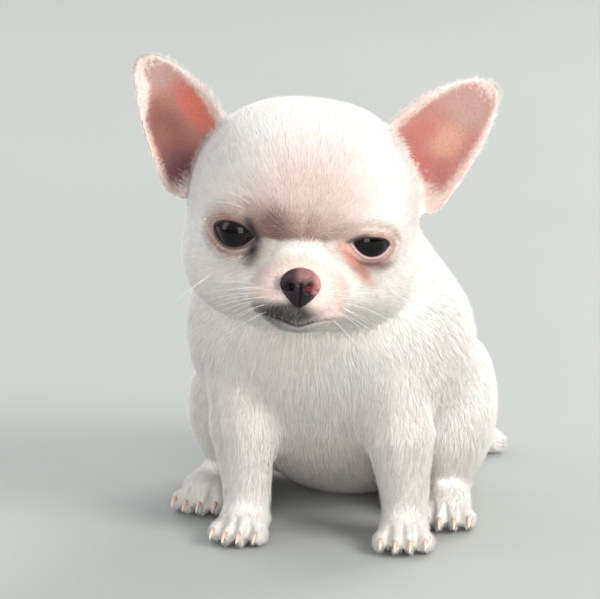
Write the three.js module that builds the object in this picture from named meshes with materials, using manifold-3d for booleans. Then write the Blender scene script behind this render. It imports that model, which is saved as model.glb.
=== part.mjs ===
// Still, life-size model of a sitting chihuahua puppy, in millimetres.
// The floor is z = 0 and +Z is up. The chest faces -Y and the puppy's left side is +X.
import * as THREE from 'three';
import { mergeVertices } from 'three/addons/utils/BufferGeometryUtils.js';
import Module from 'manifold-3d';

const wasm = await Module();
wasm.setup();

// Driving dimensions
const GAP = 0.3; // between pieces that touch
const REACH = 100; // how far outside a form its rays start
const BLOCK = 400; // side of the blocks that cut at the floor and at the neck
const COAT_WHITE = 0xf1e9e0;
const EAR_PINK = 0xe3a79b;
const NOSE_BROWN = 0x3a262b;
const EYE_DARK = 0x14100f;
const CLAW_HORN = 0xd9c8b8;

// The head, in its own frame: the origin is the middle of the skull and the face looks along -Y
const HEAD_AT = [-2, -16, 92.5];
const HEAD_TURN = 12; // degrees about the vertical, towards the puppy's left
const HEAD_NOD = 3; // degrees, face down
const HEAD_ROLL = 4.4; // degrees, the puppy's left side down
const SKULL_LOBE = { at: [7.5, 3, 0.6], half: [23.7, 28.5, 28.6] };
const FOREHEAD_LOBE = { at: [8.5, -12, 9.5], half: [17.3, 19.5, 17] };
const BRIDGE = { at: [0, -22, -6], half: [8.5, 11, 6] };
const CHEEK = { at: [17, -8, -13], half: [13.5, 17, 13] };
const THROAT = { at: [0, -4, -15], half: [22, 20, 13] };
const MUZZLE = { at: [0, -25.5, -12.5], half: [13.8, 14.5, 9.8] };
const UPPER_LIP = { at: [5.6, -31, -14], half: [7.4, 8.4, 6] };
const LOWER_JAW = { at: [0, -25.5, -19.6], half: [9, 11, 4.8] };
const BROW = { at: [14.5, -22.5, 7], half: [9.5, 6.5, 5] };
const ORBIT = { at: [16.4, -21, 0], half: [9, 7.8, 8.4] };
const SKULL_BLEND = 9;
const FACE_BLEND = 3;
const STOP_BLEND = 4; // between the skull and the face
const HEAD_DETAIL = 12;
const HEAD_CLEARANCE_DETAIL = 9;
const FACE_RAYS_FORWARD = 16; // how far before the skull's middle the rays to the face start
const FACE_RAYS_DOWN = 10;
const FACE_GATHER = 0.42; // how strongly the triangles gather at the face

// The eyes
const EYE_AT = [16.4, -21.5, 0.5];
const EYE_RADIUS = 7;
const EYE_OUTWARD = 17; // degrees that each eye looks out from straight ahead
const EYE_SLANT = 1; // degrees that the outer corner sits above the inner one
const OPENING_WIDTH = { left: 11.4, right: 12.8 };
const OPENING_ABOVE = { left: 3.1, right: 4 };
const OPENING_BELOW = { left: 3.1, right: 3.5 };

// The nose and the mouth
const NOSE = { at: [0, -37.4, -8.4], half: [5.3, 3.9, 4.4] };
const NOSE_FOOT = { at: [0, -37.6, -11], half: [2.2, 3.2, 3.2] };
const NOSTRIL = { at: [2.7, -40.8, -8.8], half: [1.35, 2.2, 1.15] };
const MOUTH_HALF_ANGLE = 66; // degrees round the muzzle from its middle to each corner
const MOUTH_HEIGHT = -18.6;
const MOUTH_DIP = 1.4;
const MOUTH_GROOVE = 0.65;
const MOUTH_CENTRE_Y = -24;
const PHILTRUM_TOP = [0, -39.6, -12];
const PHILTRUM_FOOT = [0, -38.6, -18];
const NOSE_DETAIL = 4;

// The ears, each a cupped leaf that leaves the skull up and out, the right one more upright
const EAR_ROOT = { left: [27.8, 4, 8.7], right: [30.2, 4, 8] };
const EAR_TIP = { left: [48.6, 7, 37.4], right: [46.2, 7, 38] };
const EAR_SUNK = 7; // length of the leaf inside the skull
const EAR_CROWN_WIDTH = { left: 16.4, right: 15 }; // from the ear's axis to its edge at the crown
const EAR_CHEEK_WIDTH = { left: 10.3, right: 8.6 }; // from the axis to the edge at the cheek
const EAR_TAPER = 0.52;
const EAR_FOOT_TAPER = 0.75; // how much the sunk end of the leaf is rounded off
const EAR_LAST_SHARE = 0.992; // the leaf ends just short of its point
const EAR_FACES_ACROSS = 10;
const EAR_FACES_ALONG = 12;
const EAR_CUP_ROOT = 8.5;
const EAR_CUP_TIP = 1.6;
const EAR_THICKNESS = 2.2;
const EAR_RIM = 1.2;
const EAR_THINNING = 0.4; // share of the thickness lost from root to tip

// The torso, which leans a little towards the puppy's left
const RUMP = { at: [1, 35, 29], half: [35, 28, 31] };
const BELLY = { at: [1.4, 13, 40], half: [38, 28, 29] };
const BACK = { at: [0.8, 20, 54], half: [36, 25, 25] };
const CHEST = { at: [0.5, -1, 57], half: [34, 22, 26] };
const SHOULDER = { at: [18.5, 1, 57], half: [16, 19, 19] };
const WITHERS = { at: [0, 7, 72], half: [24.5, 21, 19] };
const NAPE = { at: [-1, 5, 86], half: [21, 17, 15] };
const TORSO_CENTRE = [0, 12, 45];
const TORSO_BLEND = 13;
const TORSO_DETAIL = 8;

// The neck starts above a plane that slopes down towards the throat
const NECK_BASE = [0, 4, 74];
const NECK_SLOPE = 26; // degrees

// The front legs, the left one set wider than the right one
const FRONT_PAW_X = { left: 26, right: -18 };
const FRONT_PAW_Y = { left: -15, right: -17 };
const FRONT_PAW_TURN = { left: 9, right: -6 };
const SHOULDER_X = 21;
const SHOULDER_Y = -11;
const SHOULDER_Z = 50;
const ELBOW_Z = 31;
const WRIST_Z = 9;
const UPPER_ARM_RADIUS = 10;
const ELBOW_RADIUS = 9.2;
const WRIST_RADIUS = 6.7;
const ELBOW_SPREAD = 0.6; // share of the way from the shoulder's x to the paw's
const ELBOW_Y = -12;
const WRIST_BACK = 3; // behind the middle of the paw
const LEG_BLEND = 4;
const LEG_RINGS = 8;
const LEG_FACES_ROUND = 12;

// The hind legs, folded, with the whole foot on the floor
const THIGH_AT = { left: [30.4, 25, 28], right: [-27.6, 25, 28] };
const THIGH_HALF = [14.3, 24, 24];
const KNEE_AT = { left: [31, 15, 27], right: [-28.2, 15, 27] };
const KNEE_HALF = [11.5, 12, 14.5];
const HOCK = [30, 40, 7];
const HIND_PAW_X = 34;
const HIND_PAW_Y = 7;
const HIND_PAW_TURN = 10;
const HOCK_RADIUS = 7;
const INSTEP_RADIUS = 6;
const INSTEP_BACK = 4; // behind the middle of the paw
const THIGH_BLEND = 6;
const FOOT_RINGS = 4;
const THIGH_DETAIL = 4;

// The paws
const PAW_HALF = [7.4, 8.6, 6.4];
const PAW_CENTRE_Z = 5.6;
const TOE_HALF = [2.7, 4.6, 3.5];
const TOE_SIDE = 4.1; // between neighbouring toes
const TOE_REACH = 7.6;
const TOE_STEP_BACK = 1.9; // of the two outer toes
const TOE_SUNK = 0.4; // below the floor, where it is cut flat
const PAD_FACES = [12, 8]; // round and from top to bottom
const TOE_FACES = [7, 6];
const CLAW_LENGTH = 3.4;
const CLAW_RADIUS = 0.75;
const CLAW_SUNK = 1.2;
const CLAW_DROOP = 38; // degrees below straight ahead
const CLAW_FACES = 6;
const CLAW_ROOT_Z = 3.6;

// The tail, laid on the floor towards the puppy's left
const TAIL_POINTS = [[0, 52, 14], [2, 64, 8.5], [10, 73, 5.2], [24, 77, 4.2], [36, 74, 3.6]];
const TAIL_RADIUS_ROOT = 7.5;
const TAIL_RADIUS_TIP = 3.9;
const TAIL_RINGS = 12;
const TAIL_FACES_ROUND = 9;
const TAIL_BLEND = 1;

const vector = (a) => new THREE.Vector3(...a);
const radians = THREE.MathUtils.degToRad;
const mix = THREE.MathUtils.lerp;
const SIDEWAYS = new THREE.Vector3(1, 0, 0);
const UPWARDS = new THREE.Vector3(0, 0, 1);
const SIDES = [['left', 1], ['right', -1]];
const mirrored = (a, side) => [a[0] * side, a[1], a[2]];

// Forms: each is a function of a point that is below zero inside and about the distance outside
function ellipsoid({ at, half }, side = 1) {
  const [cx, cy, cz] = mirrored(at, side);
  const [a, b, c] = half;
  return (p) => {
    const x = p.x - cx;
    const y = p.y - cy;
    const z = p.z - cz;
    const near = Math.hypot(x / a, y / b, z / c);
    const slope = Math.hypot(x / (a * a), y / (b * b), z / (c * c));
    return slope === 0 ? -Math.min(a, b, c) : (near * (near - 1)) / slope;
  };
}

function taperedRod(from, to, radiusFrom, radiusTo) {
  const start = vector(from);
  const along = vector(to).sub(start);
  const lengthSquared = along.lengthSq();
  const offset = new THREE.Vector3();
  return (p) => {
    offset.copy(p).sub(start);
    const t = THREE.MathUtils.clamp(offset.dot(along) / lengthSquared, 0, 1);
    return offset.addScaledVector(along, -t).length() - mix(radiusFrom, radiusTo, t);
  };
}

function blended(width, ...forms) {
  return (p) => forms.map((form) => form(p)).reduce((one, other) => {
    const overlap = Math.max(width - Math.abs(one - other), 0) / width;
    return Math.min(one, other) - (overlap * overlap * width) / 4;
  });
}

const pair = (lump) => [ellipsoid(lump, 1), ellipsoid(lump, -1)];

// The outermost point of a form along a ray, found by walking in from outside
function surfacePoint(form, origin, direction, level = 0) {
  const careful = 0.7;
  const close = 0.004;
  const point = new THREE.Vector3();
  let distance = REACH;
  for (let step = 0; step < 400 && distance > 0; step += 1) {
    point.copy(direction).multiplyScalar(distance).add(origin);
    const clear = form(point) - level;
    if (clear < close) break;
    distance -= clear * careful;
  }
  return point;
}

// Solids
function solidOf(geometry) {
  const bare = geometry.clone();
  bare.deleteAttribute('normal');
  bare.deleteAttribute('uv');
  const merged = mergeVertices(bare, 1e-4);
  return new wasm.Manifold(new wasm.Mesh({
    numProp: 3,
    vertProperties: new Float32Array(merged.attributes.position.array),
    triVerts: new Uint32Array(merged.index.array),
  }));
}

function largestOf(solid) {
  const bodies = solid.decompose();
  return bodies.reduce((best, body) => (body.volume() > best.volume() ? body : best));
}

function geometryOf(solid) {
  const { vertProperties, triVerts } = solid.getMesh();
  const geometry = new THREE.BufferGeometry();
  geometry.setAttribute('position', new THREE.BufferAttribute(vertProperties, 3));
  geometry.setIndex(new THREE.BufferAttribute(triVerts, 1));
  geometry.computeVertexNormals();
  return geometry;
}

const materialOf = (color, roughness) => new THREE.MeshStandardMaterial({ color, roughness, metalness: 0 });
const COAT = materialOf(COAT_WHITE, 0.9);
const EAR_SKIN = materialOf(EAR_PINK, 0.7);
const LEATHER = materialOf(NOSE_BROWN, 0.4);
const EYE_GLOSS = materialOf(EYE_DARK, 0.06);
const HORN = materialOf(CLAW_HORN, 0.45);

function named(name, solid, material) {
  const mesh = new THREE.Mesh(geometryOf(largestOf(solid)), material);
  mesh.name = name;
  return mesh;
}

function ball({ at, half }, side = 1, around = 14, rows = 9) {
  const geometry = new THREE.SphereGeometry(1, around, rows);
  geometry.scale(...half);
  geometry.translate(...mirrored(at, side));
  return solidOf(geometry);
}

// A ball of even triangles laid over a form. originOf gives each ray's start and lean turns the rays.
function wrappedBall(form, detail, level, originOf, lean = (d) => d) {
  const geometry = new THREE.IcosahedronGeometry(1, detail);
  const position = geometry.attributes.position;
  const direction = new THREE.Vector3();
  for (let i = 0; i < position.count; i += 1) {
    direction.fromBufferAttribute(position, i).normalize();
    lean(direction);
    const point = surfacePoint(form, originOf(direction), direction, level);
    position.setXYZ(i, point.x, point.y, point.z);
  }
  return solidOf(geometry);
}

// A capsule of rings laid over a form along a curve. No part of the curve runs along the reference.
function wrappedLimb(form, curve, rings, around, reference, level = 0) {
  const caps = 2;
  const geometry = new THREE.CapsuleGeometry(1, 1, caps, around, rings);
  const position = geometry.attributes.position;
  const raw = new THREE.Vector3();
  for (let i = 0; i < position.count; i += 1) {
    raw.fromBufferAttribute(position, i);
    const t = THREE.MathUtils.clamp(raw.y + 0.5, 0, 1);
    const pastEnd = raw.y - THREE.MathUtils.clamp(raw.y, -0.5, 0.5);
    const origin = curve.getPoint(t);
    const tangent = curve.getTangent(t);
    const side = reference.clone().addScaledVector(tangent, -reference.dot(tangent)).normalize();
    const third = new THREE.Vector3().crossVectors(side, tangent);
    const direction = new THREE.Vector3()
      .addScaledVector(side, raw.x)
      .addScaledVector(third, raw.z)
      .addScaledVector(tangent, pastEnd)
      .normalize();
    const point = surfacePoint(form, origin, direction, level);
    position.setXYZ(i, point.x, point.y, point.z);
  }
  return solidOf(geometry);
}

const floorBlock = new THREE.BoxGeometry(BLOCK, BLOCK, BLOCK);
floorBlock.translate(0, 0, -BLOCK / 2);
const floor = solidOf(floorBlock);

// The head
const skullForm = blended(
  SKULL_BLEND,
  ...pair(SKULL_LOBE),
  ...pair(FOREHEAD_LOBE),
  ...pair(CHEEK),
  ellipsoid(THROAT),
);
const faceForm = blended(
  FACE_BLEND,
  ellipsoid(MUZZLE),
  ...pair(UPPER_LIP),
  ellipsoid(LOWER_JAW),
  ellipsoid(BRIDGE),
  ...pair(BROW),
  ...pair(ORBIT),
);
const headForm = blended(STOP_BLEND, skullForm, faceForm);

function headRayOrigin(direction) {
  const forward = THREE.MathUtils.smoothstep(-direction.y, 0.2, 1);
  return new THREE.Vector3(0, -FACE_RAYS_FORWARD * forward, -FACE_RAYS_DOWN * forward);
}

// Draws the rays towards the face, so that its triangles are the smallest
function towardsFace(direction) {
  const angle = Math.acos(THREE.MathUtils.clamp(-direction.y, -1, 1));
  const leaned = angle - FACE_GATHER * Math.sin(angle) * Math.cos(angle / 2);
  const across = Math.hypot(direction.x, direction.z);
  const scale = across > 0 ? Math.sin(leaned) / across : 0;
  direction.set(direction.x * scale, -Math.cos(leaned), direction.z * scale);
}

const skullBall = (detail, level) => wrappedBall(headForm, detail, level, headRayOrigin, towardsFace);

function eyeOpening(word, side) {
  const half = OPENING_WIDTH[word] / 2;
  const pull = 4 / 3; // a cubic arc rises three quarters of the way to its handles
  const above = OPENING_ABOVE[word] * pull;
  const below = OPENING_BELOW[word] * pull;
  const outline = new THREE.Shape();
  outline.moveTo(-half, 0);
  outline.bezierCurveTo(-half / 2, above, half / 2, above, half, 0);
  outline.bezierCurveTo(half / 2, -below, -half / 2, -below, -half, 0);
  const depth = EYE_RADIUS * 2;
  const prism = new THREE.ExtrudeGeometry(outline, { depth, bevelEnabled: false, curveSegments: 7 });
  prism.rotateZ(radians(EYE_SLANT * side));
  prism.rotateX(Math.PI / 2);
  prism.rotateZ(radians(EYE_OUTWARD * side));
  prism.translate(...mirrored(EYE_AT, side));
  return solidOf(prism);
}

const eyeBall = (side, radius) => ball({ at: EYE_AT, half: [radius, radius, radius] }, side, 16, 11);

function mouthPath() {
  const points = [];
  const count = 12;
  for (let i = 0; i <= count; i += 1) {
    const share = (2 * i) / count - 1;
    const angle = radians(MOUTH_HALF_ANGLE * share);
    const height = MOUTH_HEIGHT - MOUTH_DIP * Math.cos(Math.PI * share * 2) * (1 - share * share);
    const origin = new THREE.Vector3(0, MOUTH_CENTRE_Y, height);
    const direction = new THREE.Vector3(Math.sin(angle), -Math.cos(angle), 0);
    points.push(surfacePoint(headForm, origin, direction));
  }
  return new THREE.CatmullRomCurve3(points);
}

function groove(path, radius, steps) {
  const outline = new THREE.Shape();
  outline.absarc(0, 0, radius, 0, Math.PI * 2, false);
  return solidOf(new THREE.ExtrudeGeometry(outline, { extrudePath: path, steps, curveSegments: 3 }));
}

function noseSolid(level) {
  const form = blended(FACE_BLEND, ellipsoid(NOSE), ellipsoid(NOSE_FOOT));
  const origin = vector(NOSE.at);
  return wrappedBall(form, NOSE_DETAIL, level, () => origin);
}

function nose() {
  return noseSolid(0).subtract(ball(NOSTRIL, 1, 8, 6)).subtract(ball(NOSTRIL, -1, 8, 6));
}

function head() {
  let solid = skullBall(HEAD_DETAIL, 0);
  for (const [word, side] of SIDES) {
    solid = solid.subtract(eyeBall(side, EYE_RADIUS + GAP)).subtract(eyeOpening(word, side));
  }
  const philtrum = new THREE.LineCurve3(vector(PHILTRUM_TOP), vector(PHILTRUM_FOOT));
  return solid
    .subtract(groove(mouthPath(), MOUTH_GROOVE, 24))
    .subtract(groove(philtrum, MOUTH_GROOVE, 2))
    .subtract(noseSolid(GAP));
}

// The ears
function earPoint(word, side, across, along, through) {
  const root = vector(EAR_ROOT[word]);
  const axis = vector(EAR_TIP[word]).sub(root);
  const length = axis.length();
  axis.normalize();
  const back = new THREE.Vector3(0, 1, 0).addScaledVector(axis, -axis.y).normalize();
  const width = new THREE.Vector3().crossVectors(back, axis).normalize();
  const place = mix(-EAR_SUNK, length, along);
  const share = Math.max(place / length, 0);
  const sunkShare = Math.min(place / EAR_SUNK, 0);
  const fullness = place > 0
    ? (1 - share * share) ** EAR_TAPER
    : Math.sqrt(1 - EAR_FOOT_TAPER * sunkShare * sunkShare);
  const halfWidth = (across < 0 ? EAR_CROWN_WIDTH : EAR_CHEEK_WIDTH)[word] * fullness;
  const cup = mix(EAR_CUP_ROOT, EAR_CUP_TIP, share) * fullness;
  const thickness = mix(EAR_RIM, EAR_THICKNESS, 1 - across * across) * (1 - EAR_THINNING * share);
  return root
    .addScaledVector(axis, place)
    .addScaledVector(width, across * halfWidth)
    .addScaledVector(back, cup * (0.5 - across * across) + through * thickness)
    .multiply(new THREE.Vector3(side, 1, 1));
}

function earLeaf(word, side) {
  const geometry = new THREE.BoxGeometry(2, 1, 1, EAR_FACES_ACROSS, EAR_FACES_ALONG, 1);
  const position = geometry.attributes.position;
  for (let i = 0; i < position.count; i += 1) {
    const along = Math.sin((position.getY(i) + 0.5) * Math.PI * 0.5) * EAR_LAST_SHARE;
    const point = earPoint(word, side, position.getX(i), along, -position.getZ(i));
    position.setXYZ(i, point.x, point.y, point.z);
  }
  return solidOf(side > 0 ? geometry : flipped(geometry));
}

function flipped(geometry) {
  const index = geometry.index;
  for (let i = 0; i < index.count; i += 3) {
    const kept = index.getX(i + 1);
    index.setX(i + 1, index.getX(i + 2));
    index.setX(i + 2, kept);
  }
  return geometry;
}

const headGroup = new THREE.Group();
headGroup.position.set(...HEAD_AT);
headGroup.rotation.set(radians(HEAD_NOD), radians(HEAD_ROLL), radians(HEAD_TURN), 'ZXY');
headGroup.updateMatrixWorld(true);

const skullClearance = skullBall(HEAD_CLEARANCE_DETAIL, GAP);
headGroup.add(named('head', head(), COAT));
headGroup.add(named('nose', nose(), LEATHER));
for (const [word, side] of SIDES) {
  headGroup.add(named(`eye_${word}`, eyeBall(side, EYE_RADIUS), EYE_GLOSS));
  headGroup.add(named(`ear_${word}`, earLeaf(word, side).subtract(skullClearance), EAR_SKIN));
}

// The torso
const torsoForm = blended(
  TORSO_BLEND,
  ellipsoid(RUMP),
  ellipsoid(BELLY),
  ellipsoid(BACK),
  ellipsoid(CHEST),
  ...pair(SHOULDER),
  ellipsoid(WITHERS),
  ellipsoid(NAPE),
);

function torsoBall(level) {
  const origin = vector(TORSO_CENTRE);
  return wrappedBall(torsoForm, TORSO_DETAIL, level, () => origin);
}

// A block over the plane where the neck begins, raised by level along the plane's normal
function aboveNeckBase(level) {
  const block = new THREE.BoxGeometry(BLOCK, BLOCK, BLOCK);
  block.translate(0, 0, BLOCK / 2 + level);
  block.rotateX(radians(NECK_SLOPE));
  block.translate(...NECK_BASE);
  return solidOf(block);
}

// The paws and the legs
function paw(x, y, turn, level = 0) {
  const place = new THREE.Matrix4().makeRotationZ(radians(turn)).setPosition(x, y, 0);
  const grown = (half) => half.map((size) => size + level);
  const pieces = [];
  const pad = new THREE.SphereGeometry(1, ...PAD_FACES);
  pad.scale(...grown(PAW_HALF));
  pad.translate(0, 0, PAW_CENTRE_Z);
  pieces.push(pad);
  for (const [offset, stepBack] of toePlaces()) {
    const toe = new THREE.SphereGeometry(1, ...TOE_FACES);
    toe.scale(...grown(TOE_HALF));
    toe.translate(offset, stepBack - TOE_REACH, TOE_HALF[2] - TOE_SUNK);
    pieces.push(toe);
  }
  return pieces.map((piece) => solidOf(piece.applyMatrix4(place))).reduce((a, b) => a.add(b));
}

function toePlaces() {
  return [-1.5, -0.5, 0.5, 1.5].map((rank) => [rank * TOE_SIDE, Math.abs(rank) > 1 ? TOE_STEP_BACK : 0]);
}

function claws(label, x, y, turn) {
  const place = new THREE.Matrix4().makeRotationZ(radians(turn)).setPosition(x, y, 0);
  const clearance = paw(x, y, turn, GAP);
  return toePlaces().map(([offset, stepBack], index) => {
    const claw = new THREE.ConeGeometry(CLAW_RADIUS, CLAW_LENGTH, CLAW_FACES, 1);
    claw.translate(0, CLAW_LENGTH / 2 - CLAW_SUNK, 0);
    claw.rotateX(radians(90 + CLAW_DROOP));
    claw.translate(offset, stepBack - TOE_REACH - TOE_HALF[1], CLAW_ROOT_Z);
    const solid = solidOf(claw.applyMatrix4(place)).subtract(clearance);
    return named(`claw_${label}_${index + 1}`, solid, HORN);
  });
}

function frontLeg(word, side) {
  const x = FRONT_PAW_X[word];
  const y = FRONT_PAW_Y[word];
  const shoulder = [SHOULDER_X * side, SHOULDER_Y, SHOULDER_Z];
  const elbow = [mix(SHOULDER_X * side, x, ELBOW_SPREAD), ELBOW_Y, ELBOW_Z];
  const wrist = [x, y + WRIST_BACK, WRIST_Z];
  const form = blended(
    LEG_BLEND,
    taperedRod(shoulder, elbow, UPPER_ARM_RADIUS, ELBOW_RADIUS),
    taperedRod(elbow, wrist, ELBOW_RADIUS, WRIST_RADIUS),
  );
  const curve = new THREE.CatmullRomCurve3([vector(shoulder), vector(elbow), vector(wrist)]);
  const limb = wrappedLimb(form, curve, LEG_RINGS, LEG_FACES_ROUND, SIDEWAYS);
  return limb.add(paw(x, y, FRONT_PAW_TURN[word])).subtract(floor);
}

function hindLeg(word, side, level) {
  const x = HIND_PAW_X * side;
  const form = blended(
    THIGH_BLEND,
    ellipsoid({ at: THIGH_AT[word], half: THIGH_HALF }),
    ellipsoid({ at: KNEE_AT[word], half: KNEE_HALF }),
  );
  const middle = vector(THIGH_AT[word]);
  const thigh = wrappedBall(form, THIGH_DETAIL, level, () => middle);
  const hock = mirrored(HOCK, side);
  const instep = [x, HIND_PAW_Y + INSTEP_BACK, INSTEP_RADIUS];
  const foot = wrappedLimb(
    taperedRod(hock, instep, HOCK_RADIUS, INSTEP_RADIUS),
    new THREE.LineCurve3(vector(hock), vector(instep)),
    FOOT_RINGS,
    LEG_FACES_ROUND,
    SIDEWAYS,
    level,
  );
  return thigh.add(foot).add(paw(x, HIND_PAW_Y, HIND_PAW_TURN * side, level)).subtract(floor);
}

const placedClearance = solidOf(geometryOf(skullClearance).applyMatrix4(headGroup.matrixWorld));
const torsoClearance = torsoBall(GAP);
const puppy = new THREE.Group();
puppy.add(headGroup);

let torso = torsoBall(0).subtract(aboveNeckBase(-GAP)).subtract(placedClearance).subtract(floor);
for (const [word, side] of SIDES) {
  puppy.add(named(`front_leg_${word}`, frontLeg(word, side).subtract(torsoClearance), COAT));
  puppy.add(named(`hind_leg_${word}`, hindLeg(word, side, 0), COAT));
  claws(`front_${word}`, FRONT_PAW_X[word], FRONT_PAW_Y[word], FRONT_PAW_TURN[word])
    .forEach((claw) => puppy.add(claw));
  claws(`hind_${word}`, HIND_PAW_X * side, HIND_PAW_Y, HIND_PAW_TURN * side)
    .forEach((claw) => puppy.add(claw));
  torso = torso.subtract(hindLeg(word, side, GAP));
}
puppy.add(named('torso', torso, COAT));

const neck = torsoBall(0).intersect(aboveNeckBase(0)).subtract(placedClearance);
puppy.add(named('neck', neck, COAT));

// The tail
function tail() {
  const points = TAIL_POINTS.map(vector);
  const curve = new THREE.CatmullRomCurve3(points);
  const rods = [];
  const radiusAt = (t) => mix(TAIL_RADIUS_ROOT, TAIL_RADIUS_TIP, t);
  for (let i = 0; i < TAIL_RINGS; i += 1) {
    const here = i / TAIL_RINGS;
    const next = (i + 1) / TAIL_RINGS;
    const from = curve.getPoint(here).toArray();
    const to = curve.getPoint(next).toArray();
    rods.push(taperedRod(from, to, radiusAt(here), radiusAt(next)));
  }
  const solid = wrappedLimb(blended(TAIL_BLEND, ...rods), curve, TAIL_RINGS, TAIL_FACES_ROUND, UPWARDS);
  return solid.subtract(torsoClearance).subtract(floor);
}
puppy.add(named('tail', tail(), COAT));

// The origin is the middle of the puppy's footprint, on the floor
const extent = new THREE.Box3().setFromObject(puppy, true);
const middle = extent.getCenter(new THREE.Vector3());
puppy.position.set(-middle.x, -middle.y, 0);

export default puppy;
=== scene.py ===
"""A still, life-size model of a sitting chihuahua puppy with a short cream coat, on a pale floor.

Shapes are worked out in millimetres, in the frame's own axes: +Z up, the chest faces -Y and
the puppy's left side is +X. Face features are placed in the head's own frame, which is turned
and tilted against the body.
"""

import math

import bmesh
import bpy
import numpy as np
from mathutils import Matrix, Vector
from mathutils.bvhtree import BVHTree


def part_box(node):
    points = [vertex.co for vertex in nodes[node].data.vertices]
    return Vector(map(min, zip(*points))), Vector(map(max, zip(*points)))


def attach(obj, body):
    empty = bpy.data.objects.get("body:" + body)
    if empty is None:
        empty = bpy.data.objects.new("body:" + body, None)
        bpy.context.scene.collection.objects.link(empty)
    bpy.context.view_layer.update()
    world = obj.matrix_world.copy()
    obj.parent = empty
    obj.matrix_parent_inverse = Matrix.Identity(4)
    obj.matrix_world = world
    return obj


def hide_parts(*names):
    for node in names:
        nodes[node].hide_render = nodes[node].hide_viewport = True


MM = 0.001  # metres in one of the units used here
SEED = 11

# The head's own frame
HEAD_TURN = 12  # degrees about the vertical, towards the puppy's left
HEAD_NOD = 3  # degrees, face down
HEAD_ROLL = 4.4  # degrees, the puppy's left side down

# The eyes, in the head's own frame
EYE_MIDDLE = (16.4, -21.5, 0.5)
EYE_RADIUS = 7.0
EYE_OUTWARD = 17  # degrees that each eye looks out from straight ahead
EYE_SLANT = {1: -5, -1: 1}  # degrees that the outer corner sits above the inner one
OPENING_AT = {1: (0.0, -0.3), -1: (0.7, 0.0)}  # outwards and up from the eyeball's middle
OPENING_WIDTH = {1: 10.4, -1: 12.0}
OPENING_ABOVE = {1: 2.5, -1: 3.6}
OPENING_BELOW = {1: 3.0, -1: 3.4}
LID_SQUARENESS = {1: 0.5, -1: 0.15}  # of the upper lid's arch
SIDES = {1: "left", -1: "right"}

# The nose and the mouth, in the head's own frame
NOSE_MIDDLE = (0.0, -37.4, -8.4)
NOSE_HALF = (5.3, 3.9, 4.4)
NOSE_FOOT_MIDDLE = (0.0, -37.6, -11.0)
NOSE_FOOT_HALF = (2.2, 3.2, 3.2)
MOUTH_CENTRE_Y = -24.0
MOUTH_HALF_ANGLE = 66  # degrees round the muzzle from its middle to each corner
MOUTH_HEIGHT = -18.6
MOUTH_DIP = 1.4

# The ears, in the head's own frame
EAR_ROOT = {1: (27.8, 4.0, 8.7), -1: (30.2, 4.0, 8.0)}
EAR_TIP = {1: (48.6, 7.0, 37.4), -1: (46.2, 7.0, 38.0)}
EAR_CROWN_WIDTH = {1: 16.4, -1: 15.0}
EAR_CHEEK_WIDTH = {1: 10.3, -1: 8.6}
EAR_TAPER = 0.52
EAR_CUP_ROOT = 8.5
EAR_CUP_TIP = 1.6
EAR_END = 0.995  # of its length, where its width is still above zero

# The skin
VOXEL = 0.85
INFLATION = 0.25  # closes the gaps between the solids
PULLS = (0.5, -0.52)  # in and then out, as a share of the way to the neighbours' mean
BODY_SMOOTHING = 36  # rounds
FACE_SMOOTHING = 5  # rounds
ZONE_BLENDING = 14  # rounds that blend each zone into the next
SEAM_SPREAD = 30  # rounds that widen the seams between the zones
SEAM_GAIN = 6
SEAM_FILLING = 70  # rounds that round off the hollow along a seam
WRIST_HEIGHT = 13.0
WRIST_SPREAD = 4.0
WRIST_FILLING = 0.4  # of a seam's
EAR_FIRMNESS = 0.85  # how much of the smoothing the ears are spared
FACE_FIRMNESS = 0.7
SKIN_TRIANGLES = 196000
LOWEST_SKIN = 0.02  # over the floor

# The camera
CAMERA_AIM = (-0.8, 0.0, -24.3)  # from the middle of the skull to the middle of the picture
CAMERA_AZIMUTH = 12
CAMERA_ELEVATION = 15
CAMERA_DISTANCE = 1000.0
VIEW_WIDTH = 162.0
SENSOR = 36.0
VIEW_DEPTH = 20  # metres


# Small helpers
def unit(vectors):
    lengths = np.linalg.norm(vectors, axis=-1, keepdims=True)
    return vectors / np.maximum(lengths, 1e-9)


def rise(values, low, high):
    """Goes smoothly from 0 at low to 1 at high."""
    share = np.clip((values - low) / (high - low), 0, 1)
    return share * share * (3 - 2 * share)


def ridge(values, middle, width):
    """1 at the middle, falling off to both sides."""
    return np.exp(-(((values - middle) / width) ** 2))


def spot(points, middle, half, soft):
    """1 inside an ellipsoid, falling softly to 0 outside it."""
    away = np.linalg.norm((points - np.array(middle)) / np.array(half), axis=1)
    return 1 - rise(away, 1 - soft, 1 + soft)


def waves(points, size, seed, count=7):
    """A smooth random field of about unit size, whose waves are about that long."""
    draw = np.random.default_rng(seed)
    total = np.zeros(len(points))
    for _ in range(count):
        heading = unit(draw.normal(size=3))
        rate = 2 * math.pi / size * draw.uniform(0.7, 1.4)
        total += np.sin(points @ heading * rate + draw.uniform(0, 2 * math.pi))
    return total / math.sqrt(count)


def colour(red, green, blue):
    """A linear colour from the usual 0 to 255 values."""
    share = np.array([red, green, blue]) / 255
    return np.where(share <= 0.04045, share / 12.92, ((share + 0.055) / 1.055) ** 2.4)


def painted(base, shade, mask):
    return base + (shade - base) * np.clip(mask, 0, 1)[:, None]


def turned(axis, degrees):
    return np.array(Matrix.Rotation(math.radians(degrees), 3, axis))


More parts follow.
